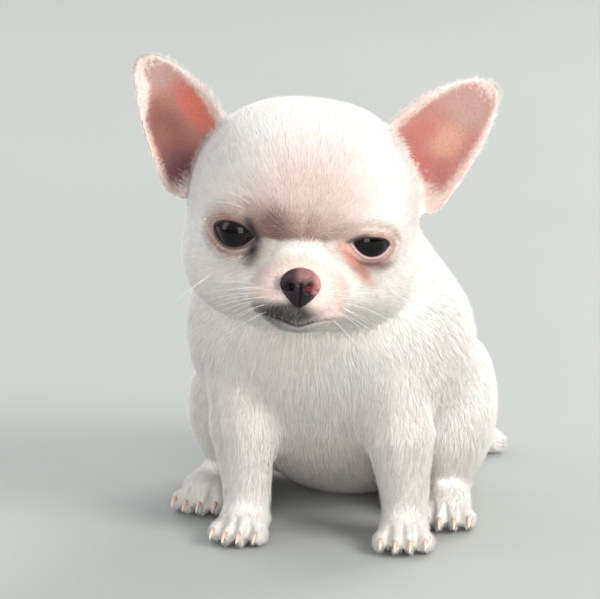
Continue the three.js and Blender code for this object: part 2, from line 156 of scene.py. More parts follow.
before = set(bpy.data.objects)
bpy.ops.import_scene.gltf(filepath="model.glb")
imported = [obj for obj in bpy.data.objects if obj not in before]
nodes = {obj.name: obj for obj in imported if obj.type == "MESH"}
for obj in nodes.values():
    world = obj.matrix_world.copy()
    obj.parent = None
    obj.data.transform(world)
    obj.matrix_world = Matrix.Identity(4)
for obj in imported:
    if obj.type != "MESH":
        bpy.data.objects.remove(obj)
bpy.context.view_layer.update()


def node_middle(name):
    low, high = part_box(name)
    return (np.array(low) + np.array(high)) / 2 / MM


HEAD_AXES = turned("Z", HEAD_TURN) @ turned("X", HEAD_NOD) @ turned("Y", HEAD_ROLL)
EYES_MIDDLE = (node_middle("eye_left") + node_middle("eye_right")) / 2
HEAD_AT = EYES_MIDDLE - HEAD_AXES @ np.array([0, EYE_MIDDLE[1], EYE_MIDDLE[2]])


def to_head(points):
    return (points - HEAD_AT) @ HEAD_AXES


def from_head(points):
    return points @ HEAD_AXES.T + HEAD_AT


def on_side(head_points, side):
    return side * head_points[:, 0] > 0


def mirrored(place, side):
    return np.array(place) * np.array([side, 1, 1])


# Meshes as arrays
def mesh_of(name, points, faces):
    """A mesh of faces that all have the same number of corners, smooth shaded."""
    mesh = bpy.data.meshes.new(name)
    count, corners = faces.shape
    mesh.vertices.add(len(points))
    mesh.vertices.foreach_set("co", (points * MM).astype(np.float32).ravel())
    mesh.loops.add(count * corners)
    mesh.loops.foreach_set("vertex_index", faces.astype(np.int32).ravel())
    mesh.polygons.add(count)
    starts = np.arange(0, count * corners, corners, dtype=np.int32)
    mesh.polygons.foreach_set("loop_start", starts)
    mesh.polygons.foreach_set("use_smooth", np.ones(count, bool))
    mesh.update(calc_edges=True)
    return mesh


def linked(name, data):
    """A new object in the scene."""
    thing = bpy.data.objects.new(name, data)
    bpy.context.scene.collection.objects.link(thing)
    return thing


def applied(thing):
    """The mesh that an object's modifiers make of it, in the place of the object."""
    graph = bpy.context.evaluated_depsgraph_get()
    mesh = bpy.data.meshes.new_from_object(thing.evaluated_get(graph))
    bpy.data.objects.remove(thing)
    return mesh


def placed(name, mesh, material):
    """Links the mesh as a piece that rides on the one body."""
    piece = linked(name, mesh)
    mesh.materials.append(material)
    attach(piece, "root")
    return piece


def tint(mesh, colours):
    layer = mesh.color_attributes.new("Tint", "FLOAT_COLOR", "POINT")
    full = np.ones((len(colours), 4), np.float32)
    full[:, :3] = np.clip(colours, 0, 1)
    layer.data.foreach_set("color", full.ravel())


def points_of(mesh):
    flat = np.zeros(len(mesh.vertices) * 3)
    mesh.vertices.foreach_get("co", flat)
    return flat.reshape(-1, 3) / MM


def edges_of(mesh):
    flat = np.zeros(len(mesh.edges) * 2, np.int32)
    mesh.edges.foreach_get("vertices", flat)
    return flat.reshape(-1, 2)


def triangles_of(mesh):
    mesh.calc_loop_triangles()
    flat = np.zeros(len(mesh.loop_triangles) * 3, np.int32)
    mesh.loop_triangles.foreach_get("vertices", flat)
    return flat.reshape(-1, 3)


def vertex_normals(points, triangles):
    a, b, c = (points[triangles[:, i]] for i in range(3))
    across = np.cross(b - a, c - a)
    total = np.zeros_like(points)
    for axis in range(3):
        for corner in range(3):
            total[:, axis] += np.bincount(triangles[:, corner], across[:, axis], len(points))
    return unit(total)


def neighbour_mean(values, edges):
    first, second = edges.T
    count = len(values)
    share = np.bincount(first, minlength=count) + np.bincount(second, minlength=count)
    total = np.empty_like(values)
    for i in range(values.shape[1]):
        total[:, i] = np.bincount(first, values[second, i], count)
        total[:, i] += np.bincount(second, values[first, i], count)
    return total / np.maximum(share, 1)[:, None]


def smoothed(points, edges, rounds, strength):
    """Evens out the facets and keeps the volume: each round pulls in and then pushes out."""
    for _ in range(rounds):
        for pull in PULLS:
            points = points + pull * strength[:, None] * (neighbour_mean(points, edges) - points)
    return points


def filled(points, edges, rounds, strength):
    """Rounds off the hollows where the strength is, and lets the rest be."""
    for _ in range(rounds):
        points = points + 0.5 * strength[:, None] * (neighbour_mean(points, edges) - points)
    return points


def blurred(values, edges, rounds):
    """Mixes the values with their neighbours' mean, half and half, that many times."""
    for _ in range(rounds):
        values = 0.5 * values + 0.5 * neighbour_mean(values, edges)
    return values


# Gathering the solids
FLESH = {
    "head": ["head"],
    "ears": ["ear_left", "ear_right"],
    "body": ["neck", "torso"],
    "tail": ["tail"],
    "legs": ["front_leg_left", "front_leg_right", "hind_leg_left", "hind_leg_right"],
}
ZONES = list(FLESH)
FILLERS = ["nose", "eye_left", "eye_right"]  # these close the hollows that they sit in


def node_shape(name):
    """A node's points, with split ones joined again, and its triangles."""
    points = points_of(nodes[name].data)
    triangles = triangles_of(nodes[name].data)
    _, first, merged = np.unique(np.round(points, 3), axis=0, return_index=True, return_inverse=True)
    return points[first], merged.reshape(-1)[triangles]


def gathered():
    """All flesh solids as one list of points and triangles, and each triangle's zone."""
    all_points, all_triangles, all_zones = [], [], []
    offset = 0
    parts = [(name, zone) for zone, group in enumerate(FLESH.values()) for name in group]
    parts += [(name, 0) for name in FILLERS]
    for name, zone in parts:
        points, triangles = node_shape(name)
        grown = points + vertex_normals(points, triangles) * INFLATION
        all_points.append(grown)
        all_triangles.append(triangles + offset)
        all_zones.append(np.full(len(triangles), zone))
        offset += len(points)
    return np.vstack(all_points), np.vstack(all_triangles), np.concatenate(all_zones)


def remeshed(points, triangles):
    """One closed surface round all the solids, in even small quads."""
    rough = linked("rough", mesh_of("rough", points, triangles))
    remesh = rough.modifiers.new("remesh", "REMESH")
    remesh.mode = "VOXEL"
    remesh.voxel_size = VOXEL * MM
    return applied(rough)


def subdivided(mesh, chosen):
    """Halves every edge whose two ends are chosen, and the faces between them."""
    work = bmesh.new()
    work.from_mesh(mesh)
    work.verts.ensure_lookup_table()
    edges = [e for e in work.edges if chosen[e.verts[0].index] and chosen[e.verts[1].index]]
    bmesh.ops.subdivide_edges(work, edges=edges, cuts=1, use_grid_fill=True)
    work.to_mesh(mesh)
    work.free()


def triangulated(mesh):
    work = bmesh.new()
    work.from_mesh(mesh)
    bmesh.ops.triangulate(work, faces=work.faces)
    work.to_mesh(mesh)
    work.free()


def thinned(mesh, chosen):
    """Merges the chosen triangles, the flattest first, until the skin is light enough."""
    thick = linked("thick", mesh)
    group = thick.vertex_groups.new(name="plain")
    group.add(np.flatnonzero(chosen).tolist(), 1.0, "REPLACE")
    thinning = thick.modifiers.new("thinning", "DECIMATE")
    thinning.ratio = SKIN_TRIANGLES / len(mesh.polygons)
    thinning.vertex_group = group.name
    return applied(thick)


# The eye openings
def eye_axes(side):
    """The eye's outward, upward and gaze directions, in the head's own frame."""
    turn = math.radians(EYE_OUTWARD)
    slant = math.radians(EYE_SLANT[side])
    level = np.array([side * math.cos(turn), math.sin(turn), 0.0])
    gaze = np.array([side * math.sin(turn), -math.cos(turn), 0.0])
    above = np.array([0.0, 0.0, 1.0])
    outward = level * math.cos(slant) + above * math.sin(slant)
    upward = above * math.cos(slant) - level * math.sin(slant)
    return np.array([outward, upward, gaze])


def eye_middle(side):
    return np.array([side * EYE_MIDDLE[0], EYE_MIDDLE[1], EYE_MIDDLE[2]])


def to_eye(head_points, side):
    return (head_points - eye_middle(side)) @ eye_axes(side).T


def from_eye(points, side):
    return points @ eye_axes(side) + eye_middle(side)


FAR_AWAY = 99.0  # stands for any distance that doesn't matter
LID_AREA = 7.0  # how far beyond the eyeball the skin belongs to the lids
EDGE_STEPS = 90
SOLVING_ROUNDS = 5


def lid_arches(share, side):
    """How far open the upper and the lower lid are at a place from -1 to 1 across the eye."""
    bow = 1 - share ** 2
    above = OPENING_ABOVE[side] * bow * (1 + LID_SQUARENESS[side] * share ** 2)
    return above, OPENING_BELOW[side] * bow


def almond(side, count):
    """The edge of the eye opening on the eyeball: along the upper lid outwards, and back below.
    The curve (9 s - s^3) / 8 draws the arches out across the eye."""
    share = np.sin(np.linspace(-math.pi / 2, math.pi / 2, count + 1))
    along = OPENING_WIDTH[side] / 2 * (9 * share - share ** 3) / 8
    above, below = lid_arches(share, side)
    flat = np.vstack([
        np.stack([along, above], 1),
        np.stack([along, -below], 1)[-2:0:-1],
    ]) + np.array(OPENING_AT[side])
    depth = np.sqrt(EYE_RADIUS ** 2 - (flat ** 2).sum(1))
    return np.column_stack([flat, depth])


def opening_distance(eye_points, side):
    """How far a point's place on the eyeball is outside the opening, below zero inside it."""
    result = np.full(len(eye_points), FAR_AWAY)
    near = (np.linalg.norm(eye_points, axis=1) < EYE_RADIUS + LID_AREA) & (eye_points[:, 2] > 0)
    on_ball = unit(eye_points[near]) * EYE_RADIUS
    away = np.full(len(on_ball), FAR_AWAY)
    for point in almond(side, EDGE_STEPS):
        away = np.minimum(away, np.linalg.norm(on_ball - point, axis=1))
    flat = on_ball[:, :2] - np.array(OPENING_AT[side])
    half = OPENING_WIDTH[side] / 2
    share = np.clip(flat[:, 0] / half, -1, 1)
    solved = share.copy()
    for _ in range(SOLVING_ROUNDS):
        solved -= (9 * solved - solved ** 3 - 8 * share) / (9 - 3 * solved ** 2)
    above, below = lid_arches(solved, side)
    inside = (np.abs(flat[:, 0]) < half) & (flat[:, 1] < above) & (flat[:, 1] > -below)
    result[near] = np.where(inside, -away, away)
    return result


LID_MARGIN = 0.3  # the skin's height over the eyeball where it meets the lid's edge
LID_REACH = 2.6
LEAST_LID = 0.55  # the skin's least height over the eyeball beyond that reach
FOLDS_END = 5.0  # from the lid's edge
SOCKET_DEPTH = 1.0
EYE_BACK = -2.0  # how far behind the eye's middle the skin is still looked at
LID_CORNERS = (-0.5, 1.2)  # heights between which the lower folds give way to the upper ones
CARVING_FADE = (-1.5, 1.5)  # from before the eye's middle to behind it

# Each fold round the opening: its distance from the edge, half its width and its height
UPPER_FOLDS = ((1.2, 0.7, 0.22), (2.2, 0.5, -0.5), (3.3, 0.9, 0.3))
LOWER_FOLDS = ((1.1, 0.6, 0.15), (2.1, 0.5, -0.32))


def carve_eye(head_points, side):
    """Opens the lids over the eyeball and folds the skin round them."""
    local = to_eye(head_points, side)
    near = np.linalg.norm(local, axis=1) < EYE_RADIUS + LID_AREA
    near &= local[:, 2] > EYE_BACK
    part = local[near]
    height = np.linalg.norm(part, axis=1) - EYE_RADIUS
    away = opening_distance(part, side)
    shaped = LID_MARGIN + (np.maximum(height, LEAST_LID) - LID_MARGIN) * rise(away, 0, LID_REACH)
    shaped = np.where(away > FOLDS_END, height, shaped)
    above = rise(part[:, 1], *LID_CORNERS)
    for folds, here in ((UPPER_FOLDS, above), (LOWER_FOLDS, 1 - above)):
        for middle, width, raised in folds:
            shaped += raised * ridge(away, middle, width) * here
    shaped = np.where(away < 0, -SOCKET_DEPTH, shaped)
    radius = EYE_RADIUS + shaped + (height - shaped) * rise(-part[:, 2], *CARVING_FADE)
    local[near] = unit(part) * radius[:, None]
    moved = head_points.copy()
    moved[near] = from_eye(local[near], side)
    return moved


# The nose's bed, the mouth and the folds of the face
NOSE_BLEND = 3.0
BED_PLACE = (0.0, 3.0, -0.5)  # what the bed is drawn in to, from the nose's middle
BED_SHARE = 0.26  # of the way there
BED_EDGE = (0.1, 1.1)  # from the leather
MOUTH_END = 1.6  # how far its line is followed, where each corner is at 1
MOUTH_FADE = (0.5, 1.05)
MOUTH_BACK = 4.0

# Each line along the mouth: its height over the place where the lips meet, half its width and
# how far it stands out
LIP_LINES = ((0.0, 0.42, -1.15), (1.5, 0.9, 0.35), (-1.2, 0.9, 0.1))

# The groove under the nose and the one up the brow: its place to the side, half its width, the
# heights where it begins and ends, how far forward it lies and its depth
UPRIGHT_GROOVES = (
    (0.0, 0.45, (-19.5, -18), (-12.5, -11), -30, 0.6),
    (0.4, 0.9, (1, 4), (9, 14), -20, 0.3),
)

# Each crease beside the muzzle: its two ends, half its width and its depth
CREASES = (
    ((8.3, -28.0, -0.8), (13.4, -25.5, -7.4), 0.75, 0.42),
    ((11.5, -29.5, -4.0), (15.0, -29.0, -14.0), 2.8, 0.65),
)


def ellipsoid_away(points, middle, half):
    scaled = (points - np.array(middle)) / np.array(half)
    length = np.linalg.norm(scaled, axis=1)
    slope = np.linalg.norm(scaled / np.array(half), axis=1)
    return length * (length - 1) / np.maximum(slope, 1e-6)


def smooth_least(first, second, width):
    """The lesser of two distances, rounded where they meet."""
    gap = np.maximum(width - np.abs(first - second), 0) / width
    return np.minimum(first, second) - gap * gap * width / 4


def nose_away(points):
    top = ellipsoid_away(points, NOSE_MIDDLE, NOSE_HALF)
    foot = ellipsoid_away(points, NOSE_FOOT_MIDDLE, NOSE_FOOT_HALF)
    return smooth_least(top, foot, NOSE_BLEND)


def sink_nose_bed(head_points):
    """Draws the skin in behind the nose's leather."""
    away = nose_away(head_points)
    share = 1 - BED_SHARE * (1 - rise(away, *BED_EDGE))
    middle = np.array(NOSE_MIDDLE) + np.array(BED_PLACE)
    return middle + (head_points - middle) * share[:, None]


def mouth_share(head_points):
    """Where a point is along the mouth, -1 at the right corner and 1 at the left one."""
    angle = np.arctan2(head_points[:, 0], MOUTH_CENTRE_Y - head_points[:, 1])
    return angle / math.radians(MOUTH_HALF_ANGLE)


def mouth_height(share):
    return MOUTH_HEIGHT - MOUTH_DIP * np.cos(2 * math.pi * share) * (1 - share * share)


def mouth_gap(head_points):
    """The height above the line of the mouth, and how much of a mouth there is at that place."""
    share = np.clip(mouth_share(head_points), -MOUTH_END, MOUTH_END)
    present = 1 - rise(np.abs(share), *MOUTH_FADE)
    present *= head_points[:, 1] < MOUTH_CENTRE_Y + MOUTH_BACK
    return head_points[:, 2] - mouth_height(np.clip(share, -1, 1)), present


def along_line(points, start, end, width, ends=0.3):
    """1 on a line between two places, falling off to its sides, and down to ends at its ends."""
    line = end - start
    share = np.clip((points - start) @ line / (line @ line), 0, 1)
    away = np.linalg.norm(points - start - share[:, None] * line, axis=1)
    return ridge(away, 0, width) * (ends + (1 - ends) * np.sin(math.pi * share))


def carve_face(head_points, normals):
    """Cuts the mouth and the groove under the nose, and creases the brow and the cheeks."""
    x, y, z = head_points.T
    gap, present = mouth_gap(head_points)
    push = np.zeros(len(head_points))
    for height, width, raised in LIP_LINES:
        push += raised * ridge(gap, height, width) * present
    for aside, width, bottom, top, front, depth in UPRIGHT_GROOVES:
        groove = ridge(x, aside, width) * rise(z, *bottom) * (1 - rise(z, *top)) * (y < front)
        push -= depth * groove
    for side in SIDES:
        for start, end, width, depth in CREASES:
            line = along_line(head_points, mirrored(start, side), mirrored(end, side), width)
            push -= depth * line
    return head_points + normals * push[:, None]


# The paws: the way each foot points, in degrees from straight ahead
FEET = {"front_left": 9, "front_right": -6, "hind_left": 10, "hind_right": -10}
TOES = range(1, 5)
TOE_MIDDLE = 4.0  # behind the claws
TOE_AREA = 7.5
TOE_GROOVE = 1.1  # its depth
GROOVE_WIDTH = 0.75
GROOVE_HEIGHT = 9.0
GROOVE_START = (-9, -4)  # along the foot from between the claws, where it fades in
GROOVE_MIDDLE = -3.0  # along the foot too
GROOVE_HALF = 7.0  # half its length


def foot_axes(turn):
    heading = np.array([math.sin(math.radians(turn)), -math.cos(math.radians(turn)), 0.0])
    return heading, np.array([-heading[1], heading[0], 0.0])


def toe_gaps():
    """The middle of each gap between neighbouring toes, with its foot's axes."""
    for foot, turn in FEET.items():
        toes = [node_middle(f"claw_{foot}_{number}") for number in TOES]
        for first, second in zip(toes, toes[1:]):
            yield (first + second) / 2, *foot_axes(turn)


def paw_region(points):
    """Which points are on the toes."""
    chosen = np.zeros(len(points), bool)
    for middle, heading, _ in toe_gaps():
        chosen |= np.linalg.norm(points - middle + heading * TOE_MIDDLE, axis=1) < TOE_AREA
    return chosen


def toe_grooves(points):
    """How deep the groove between two toes is at each point, from 0 to 1."""
    deepest = np.zeros(len(points))
    for middle, heading, across in toe_gaps():
        offset = points - middle
        along, aside = offset @ heading, offset @ across
        groove = ridge(aside, 0, GROOVE_WIDTH) * rise(along, *GROOVE_START)
        groove *= (points[:, 2] < GROOVE_HEIGHT) & (np.abs(along - GROOVE_MIDDLE) < GROOVE_HALF)
        deepest = np.maximum(deepest, groove)
    return deepest


# The ears' own coordinates
def ear_place(head_points, side):
    """Along the ear from 0 at its root to 1 at its tip, across it from -1 at the edge towards
    the crown to 1 at the lower edge, and how far behind the ear's middle surface."""
    offset = head_points * np.array([side, 1, 1]) - np.array(EAR_ROOT[side])
    axis = np.array(EAR_TIP[side]) - np.array(EAR_ROOT[side])
    length = np.linalg.norm(axis)
    axis = axis / length
    back = unit(np.array([0, 1, 0]) - axis * axis[1])
    along = offset @ axis / length
    share = np.clip(along, 0, EAR_END)
    fullness = (1 - share ** 2) ** EAR_TAPER
    reach = offset @ np.cross(back, axis)
    width = np.where(reach < 0, EAR_CROWN_WIDTH[side], EAR_CHEEK_WIDTH[side])
    across = reach / (width * fullness)
    cup = (EAR_CUP_ROOT + (EAR_CUP_TIP - EAR_CUP_ROOT) * share) * fullness
    behind = offset @ back - cup * (0.5 - across ** 2)
    return along, across, behind


def ear_directions(side):
    """The ear's length and width directions, in the head's own frame."""
    axis = unit(np.array(EAR_TIP[side]) - np.array(EAR_ROOT[side]))
    back = unit(np.array([0, 1, 0]) - axis * axis[1])
    return mirrored(axis, side), mirrored(np.cross(back, axis), side)


# Making the skin

# How far it lies inside the solids in each zone, and how much less on the paws, the front of the
# face and the muzzle
COAT_DEPTH = {"body": 1.1, "head": 0.8, "ears": 0.1, "tail": 0.9, "legs": 0.8}
PAW_SHALLOWER = 0.3
FACE_SHALLOWER = 0.3
MUZZLE_SHALLOWER = 0.2
LEAST_DEPTH = 0.05

# Where the skin has finer faces than elsewhere: round the eyes and round the muzzle
MUZZLE_MIDDLE = (0.0, -35.0, -13.5)
MUZZLE_BREADTH = (1.3, 1, 1)
MUZZLE_RADIUS = 10
FACE_BACK = -16
FINE_REACHES = (9, 3.5)  # each halves the faces once more
SMOOTH_REACH = 10
PLAIN_REACH = 12

# Where the front of the face, the muzzle and the feet fade into the rest
FACE_FRONT = (-22, -10)
FACE_TOP = (4, 16)
MUZZLE_FRONT = (-31, -25)
PAW_SKIN_TOP = (8, 16)
PAW_HAIR_TOP = (6, 18)


def zone(weights, name):
    return weights[:, ZONES.index(name)]


def zone_weights(points, edges, solids):
    """How much of each zone a point belongs to, blended over a few millimetres."""
    solid_points, solid_triangles, solid_zones = solids
    tree = BVHTree.FromPolygons(solid_points.tolist(), solid_triangles.tolist())
    nearest = np.array([tree.find_nearest(p)[2] for p in points.tolist()])
    return blurred(np.eye(len(ZONES))[solid_zones[nearest]], edges, ZONE_BLENDING)


def seam_share(weights, edges):
    """1 where the trunk meets the head, a leg or the tail, and 0 away from there."""
    weights = blurred(weights, edges, SEAM_SPREAD)
    others = zone(weights, "head") + zone(weights, "legs") + zone(weights, "tail")
    return np.clip(SEAM_GAIN * zone(weights, "body") * others, 0, 1)


def face_share(head_points, weights):
    """1 on the front of the face, 0 on the rest of the skull."""
    front = 1 - rise(head_points[:, 1], *FACE_FRONT)
    low = 1 - rise(head_points[:, 2], *FACE_TOP)
    return front * low * zone(weights, "head")


def muzzle_share(head_points, weights):
    return (1 - rise(head_points[:, 1], *MUZZLE_FRONT)) * zone(weights, "head")


def paw_share(points, weights, top):
    """1 on the feet below the first height, 0 above the second one."""
    return zone(weights, "legs") * (1 - rise(points[:, 2], *top))


def sole_share(points, normals, facing, top):
    """1 where the skin faces down and lies on the floor."""
    return rise(-normals[:, 2], *facing) * (1 - rise(points[:, 2], *top))


def coat_depth(head_points, points, weights):
    """How far the skin lies inside the solids, in millimetres."""
    depth = sum(value * zone(weights, name) for name, value in COAT_DEPTH.items())
    depth -= PAW_SHALLOWER * paw_share(points, weights, PAW_SKIN_TOP)
    depth -= FACE_SHALLOWER * face_share(head_points, weights)
    depth -= MUZZLE_SHALLOWER * muzzle_share(head_points, weights)
    return np.maximum(depth, LEAST_DEPTH) + INFLATION


def face_region(points, reach):
    """Which points are near the eyes, the nose or the mouth."""
    head_points = to_head(points)
    chosen = np.zeros(len(points), bool)
    for side in SIDES:
        chosen |= np.linalg.norm(head_points - eye_middle(side), axis=1) < EYE_RADIUS + reach
    offset = (head_points - np.array(MUZZLE_MIDDLE)) / np.array(MUZZLE_BREADTH)
    chosen |= np.linalg.norm(offset, axis=1) < MUZZLE_RADIUS + reach
    return chosen & (head_points[:, 1] < FACE_BACK)


def plain_region(points):
    """Which points are away from the face, the ears and the toes, where wide triangles will do."""
    chosen = ~(face_region(points, PLAIN_REACH) | paw_region(points))
    head_points = to_head(points)
    for side in SIDES:
        along, across, behind = ear_place(head_points, side)
        near = on_side(head_points, side) & (along > -0.4)
        chosen &= ~(near & (np.abs(across) < 1.8) & (np.abs(behind) < 9))
    return chosen


def even_out(mesh, solids):
    """Smooths the surface, least on the ears and the face, and fills the hollows at its seams."""
    points = points_of(mesh)
    edges = edges_of(mesh)
    weights = zone_weights(points, edges, solids)
    face = face_share(to_head(points), weights)
    strength = 1 - EAR_FIRMNESS * np.clip(zone(weights, "ears") * 1.5, 0, 1)
    strength *= 1 - FACE_FIRMNESS * face
    points = smoothed(points, edges, BODY_SMOOTHING, strength)
    wrists = zone(weights, "legs") * ridge(points[:, 2], WRIST_HEIGHT, WRIST_SPREAD)
    seams = np.maximum(seam_share(weights, edges) * (1 - face), WRIST_FILLING * wrists)
    points = filled(points, edges, SEAM_FILLING, seams)
    mesh.vertices.foreach_set("co", (points * MM).ravel())


def refined(mesh):
    """Finer faces on the face and the toes and wider ones elsewhere, all of them triangles."""
    for reach in FINE_REACHES:
        subdivided(mesh, face_region(points_of(mesh), reach))
    subdivided(mesh, paw_region(points_of(mesh)))
    triangulated(mesh)
    mesh = thinned(mesh, plain_region(points_of(mesh)))
    triangulated(mesh)
    return mesh


def on_floor(points):
    points[:, 2] = np.maximum(points[:, 2], LOWEST_SKIN)
    return points


def carved(points, triangles, weights):
    """Opens the lids and cuts the mouth, the nose's bed and the folds into the head."""
    head_points = to_head(points)
    shaped = carve_face(head_points, vertex_normals(points, triangles) @ HEAD_AXES)
    shaped = sink_nose_bed(shaped)
    for side in SIDES:
        shaped = carve_eye(shaped, side)
    is_head = zone(weights, "head") > 0.5
    return from_head(np.where(is_head[:, None], shaped, head_points))


def build_skin():
    """One surface round all the solids, sunk by the depth of the coat and carved."""
    solids = gathered()
    mesh = remeshed(*solids[:2])
    even_out(mesh, solids)
    mesh = refined(mesh)
    points = points_of(mesh)
    edges = edges_of(mesh)
    triangles = triangles_of(mesh)
    fine = face_region(points, SMOOTH_REACH).astype(float)
    points = smoothed(points, edges, FACE_SMOOTHING, fine)
    weights = zone_weights(points, edges, solids)
    depth = coat_depth(to_head(points), points, weights) + TOE_GROOVE * toe_grooves(points)
    points = on_floor(points - vertex_normals(points, triangles) * depth[:, None])
    points = on_floor(carved(points, triangles, weights))
    mesh.vertices.foreach_set("co", (points * MM).astype(np.float32).ravel())
    mesh.update()
    return {
        "mesh": mesh,
        "points": points,
        "triangles": triangles,
        "normals": vertex_normals(points, triangles),
        "weights": weights,
    }


# The markings, with the light and shade that is painted among them
CREAM = colour(250, 246, 240)
WARM_CREAM = colour(247, 238, 230)
BLUSH = colour(238, 208, 202)
BROW_MIST = colour(214, 187, 181)
BROW_TAN = colour(172, 140, 131)
BROW_TAUPE = colour(118, 88, 84)
BROW_SAND = colour(188, 168, 158)
LID_TAN = colour(190, 158, 146)
LID_TAN_SHADED = colour(172, 138, 122)
LID_BROWN_AND_SHADE = colour(134, 92, 84)
STAIN = colour(44, 28, 32)
PINK_FOLD = colour(230, 158, 138)
MUZZLE_PINK = colour(240, 208, 200)
MUZZLE_PEACH = colour(238, 202, 184)
LIP_DARK = colour(44, 35, 39)
LIP_GREY_AND_SHADE = colour(98, 88, 90)
EAR_PALE = colour(238, 216, 208)
EAR_PINK = colour(186, 128, 118)
# painted glow of light shining through the thin ear, over the skin's own pink and red
EAR_ORANGE_GLOW = colour(208, 155, 134)
EAR_RED_AND_GLOW = colour(190, 112, 102)
EAR_GLOW = colour(206, 112, 92)
EAR_ROSE = colour(182, 112, 110)
# the puppy's right ear's own colours, darkened as painted shade
EAR_BROWN_SHADED = colour(128, 80, 72)
EAR_MAUVE_SHADED = colour(118, 72, 80)
EAR_SHADE_GREY = colour(128, 118, 122)
EAR_LILAC = colour(186, 150, 145)
SOLE_PINK = colour(214, 160, 150)

LIP_MIDDLE = (-2.6, -38.0, -16.0)  # of the dark lip under the nose
LIP_HALF = (7.2, 5.5, 3.6)
LIP_SOFTNESS = 0.4
PATCH_SOFTNESS = 0.6
HAIR_GRAIN = 0.6  # the size of the differences between neighbouring hairs
EAR_GRAIN = 0.8  # the size of the teeth along the border of an ear's bare skin
EAR_JAG = 0.035  # how far those teeth reach, along and across the ear
CREAM_PATCHES = 26  # the size of the warmer patches in the coat
BROW_EDGE = (0.3, 1.5)  # the heights where the band between the eyes begins
BROW_TILT = 0.12  # how much that edge climbs to the puppy's left
BROW_FRONT = (-28, -22)
PALE_HAIRS = (0.8, 1.1)  # how much of the noise makes a hair on the dark lip pale

# Each patch on the brow and on the muzzle: its colour, middle, half sizes and strength
BROW_PATCHES = (
    (BROW_MIST, (-1.0, -30, 9.0), (17, 9, 9), 0.8),
    (BROW_TAN, (-1.0, -30, 3.5), (13, 8, 5.5), 0.8),
    (BROW_TAUPE, (-8.3, -30, 4.8), (4.6, 6, 5.0), 0.9),
    (BROW_TAUPE, (-2.0, -30, 1.6), (8, 6, 2.2), 0.4),
    (BROW_SAND, (-13.0, -30, 9.0), (2.8, 5, 2.6), 0.7),
)
MUZZLE_PATCHES = (
    # painted highlight: the bridge of the nose in the coat's cream, brighter than the warmer face
    # round it
    (CREAM, (0.5, -31.5, -1.2), (9.5, 5, 2.2), 0.9),
    (MUZZLE_PEACH, (1, -35, -4.6), (7, 4, 2.4), 0.7),
    (MUZZLE_PINK, (7.5, -36, -12), (7, 8, 7), 0.8),
    (MUZZLE_PINK, (-7, -36, -9), (6, 7, 5), 0.7),
    # grey hair mixed with painted shade: low on the puppy's right lip, under the chin and beside the
    # nose
    (LIP_GREY_AND_SHADE, (-8.0, -36, -16.8), (6, 6, 3.6), 0.8),
    (LIP_GREY_AND_SHADE, (-1.5, -35, -21.6), (8, 6, 2.6), 0.55),
    (LIP_GREY_AND_SHADE, (-5.8, -38.5, -7.8), (1.5, 3, 3.2), 0.6),
)

# Each patch of colour inside an ear: its colour, its place along and across the ear, half its
# length, half its width and its strength. The orange, red and glowing patches are painted light
# shining through the ear over its pink skin, and the brown, mauve and grey ones darken the puppy's
# right ear as painted shade.
EAR_PATCHES = {
    1: (
        # painted glow of light through the puppy's left ear
        (EAR_ORANGE_GLOW, 0.45, 0.10, 0.17, 0.42, 0.95),
        (EAR_RED_AND_GLOW, 0.36, -0.42, 0.14, 0.26, 0.7),
        (EAR_RED_AND_GLOW, 0.16, -0.05, 0.14, 0.34, 0.85),
        (EAR_ROSE, 0.18, 0.42, 0.16, 0.40, 0.8),
        (EAR_LILAC, 0.74, -0.1, 0.17, 0.95, 0.9),
    ),
    -1: (
        # the puppy's right ear, its patches darkened as painted shade
        (EAR_BROWN_SHADED, 0.36, 0.40, 0.34, 0.75, 0.95),
        (EAR_LILAC, 0.84, 0.0, 0.17, 0.95, 0.95),
        # painted glow of light through the puppy's right ear
        (EAR_GLOW, 0.46, -0.60, 0.24, 0.34, 1.0),
        (EAR_MAUVE_SHADED, 0.06, 0.45, 0.20, 0.70, 0.95),
        (EAR_SHADE_GREY, -0.12, 0.30, 0.12, 0.80, 0.8),
    ),
}


def brow_colours(head_points, shade, strength):
    """The taupe band between the eyes, hair by hair, with a clean edge below it."""
    x, y, z = head_points.T
    hairs = 1 + 0.3 * waves(head_points, HAIR_GRAIN, seed=51, count=9)
    edge = rise(z - BROW_TILT * np.maximum(x, 0), *BROW_EDGE) * (1 - rise(y, *BROW_FRONT))
    for patch, middle, half, most in BROW_PATCHES:
        here = edge * hairs * spot(head_points, middle, half, PATCH_SOFTNESS)
        shade = painted(shade, patch, strength * most * here)
    return shade


def muzzle_colours(head_points, shade, on_tufts):
    """A painted highlight on the bridge, the pink muzzle, grey hair with painted shade on the lower
    lip, the chin and beside the nose, the dark lip under the nose and the line of the mouth.
    """
    for patch, middle, half, most in MUZZLE_PATCHES:
        shade = painted(shade, patch, most * spot(head_points, middle, half, PATCH_SOFTNESS))
    lip = spot(head_points, LIP_MIDDLE, LIP_HALF, LIP_SOFTNESS)
    shade = painted(shade, LIP_DARK, 0.95 * lip)
    if on_tufts:
        pale_hairs = rise(waves(head_points, HAIR_GRAIN, seed=71), *PALE_HAIRS)
        shade = painted(shade, CREAM, 0.9 * lip * pale_hairs)
    gap, present = mouth_gap(head_points)
    return painted(shade, LIP_DARK, 0.95 * ridge(gap, 0, 0.7) * present)


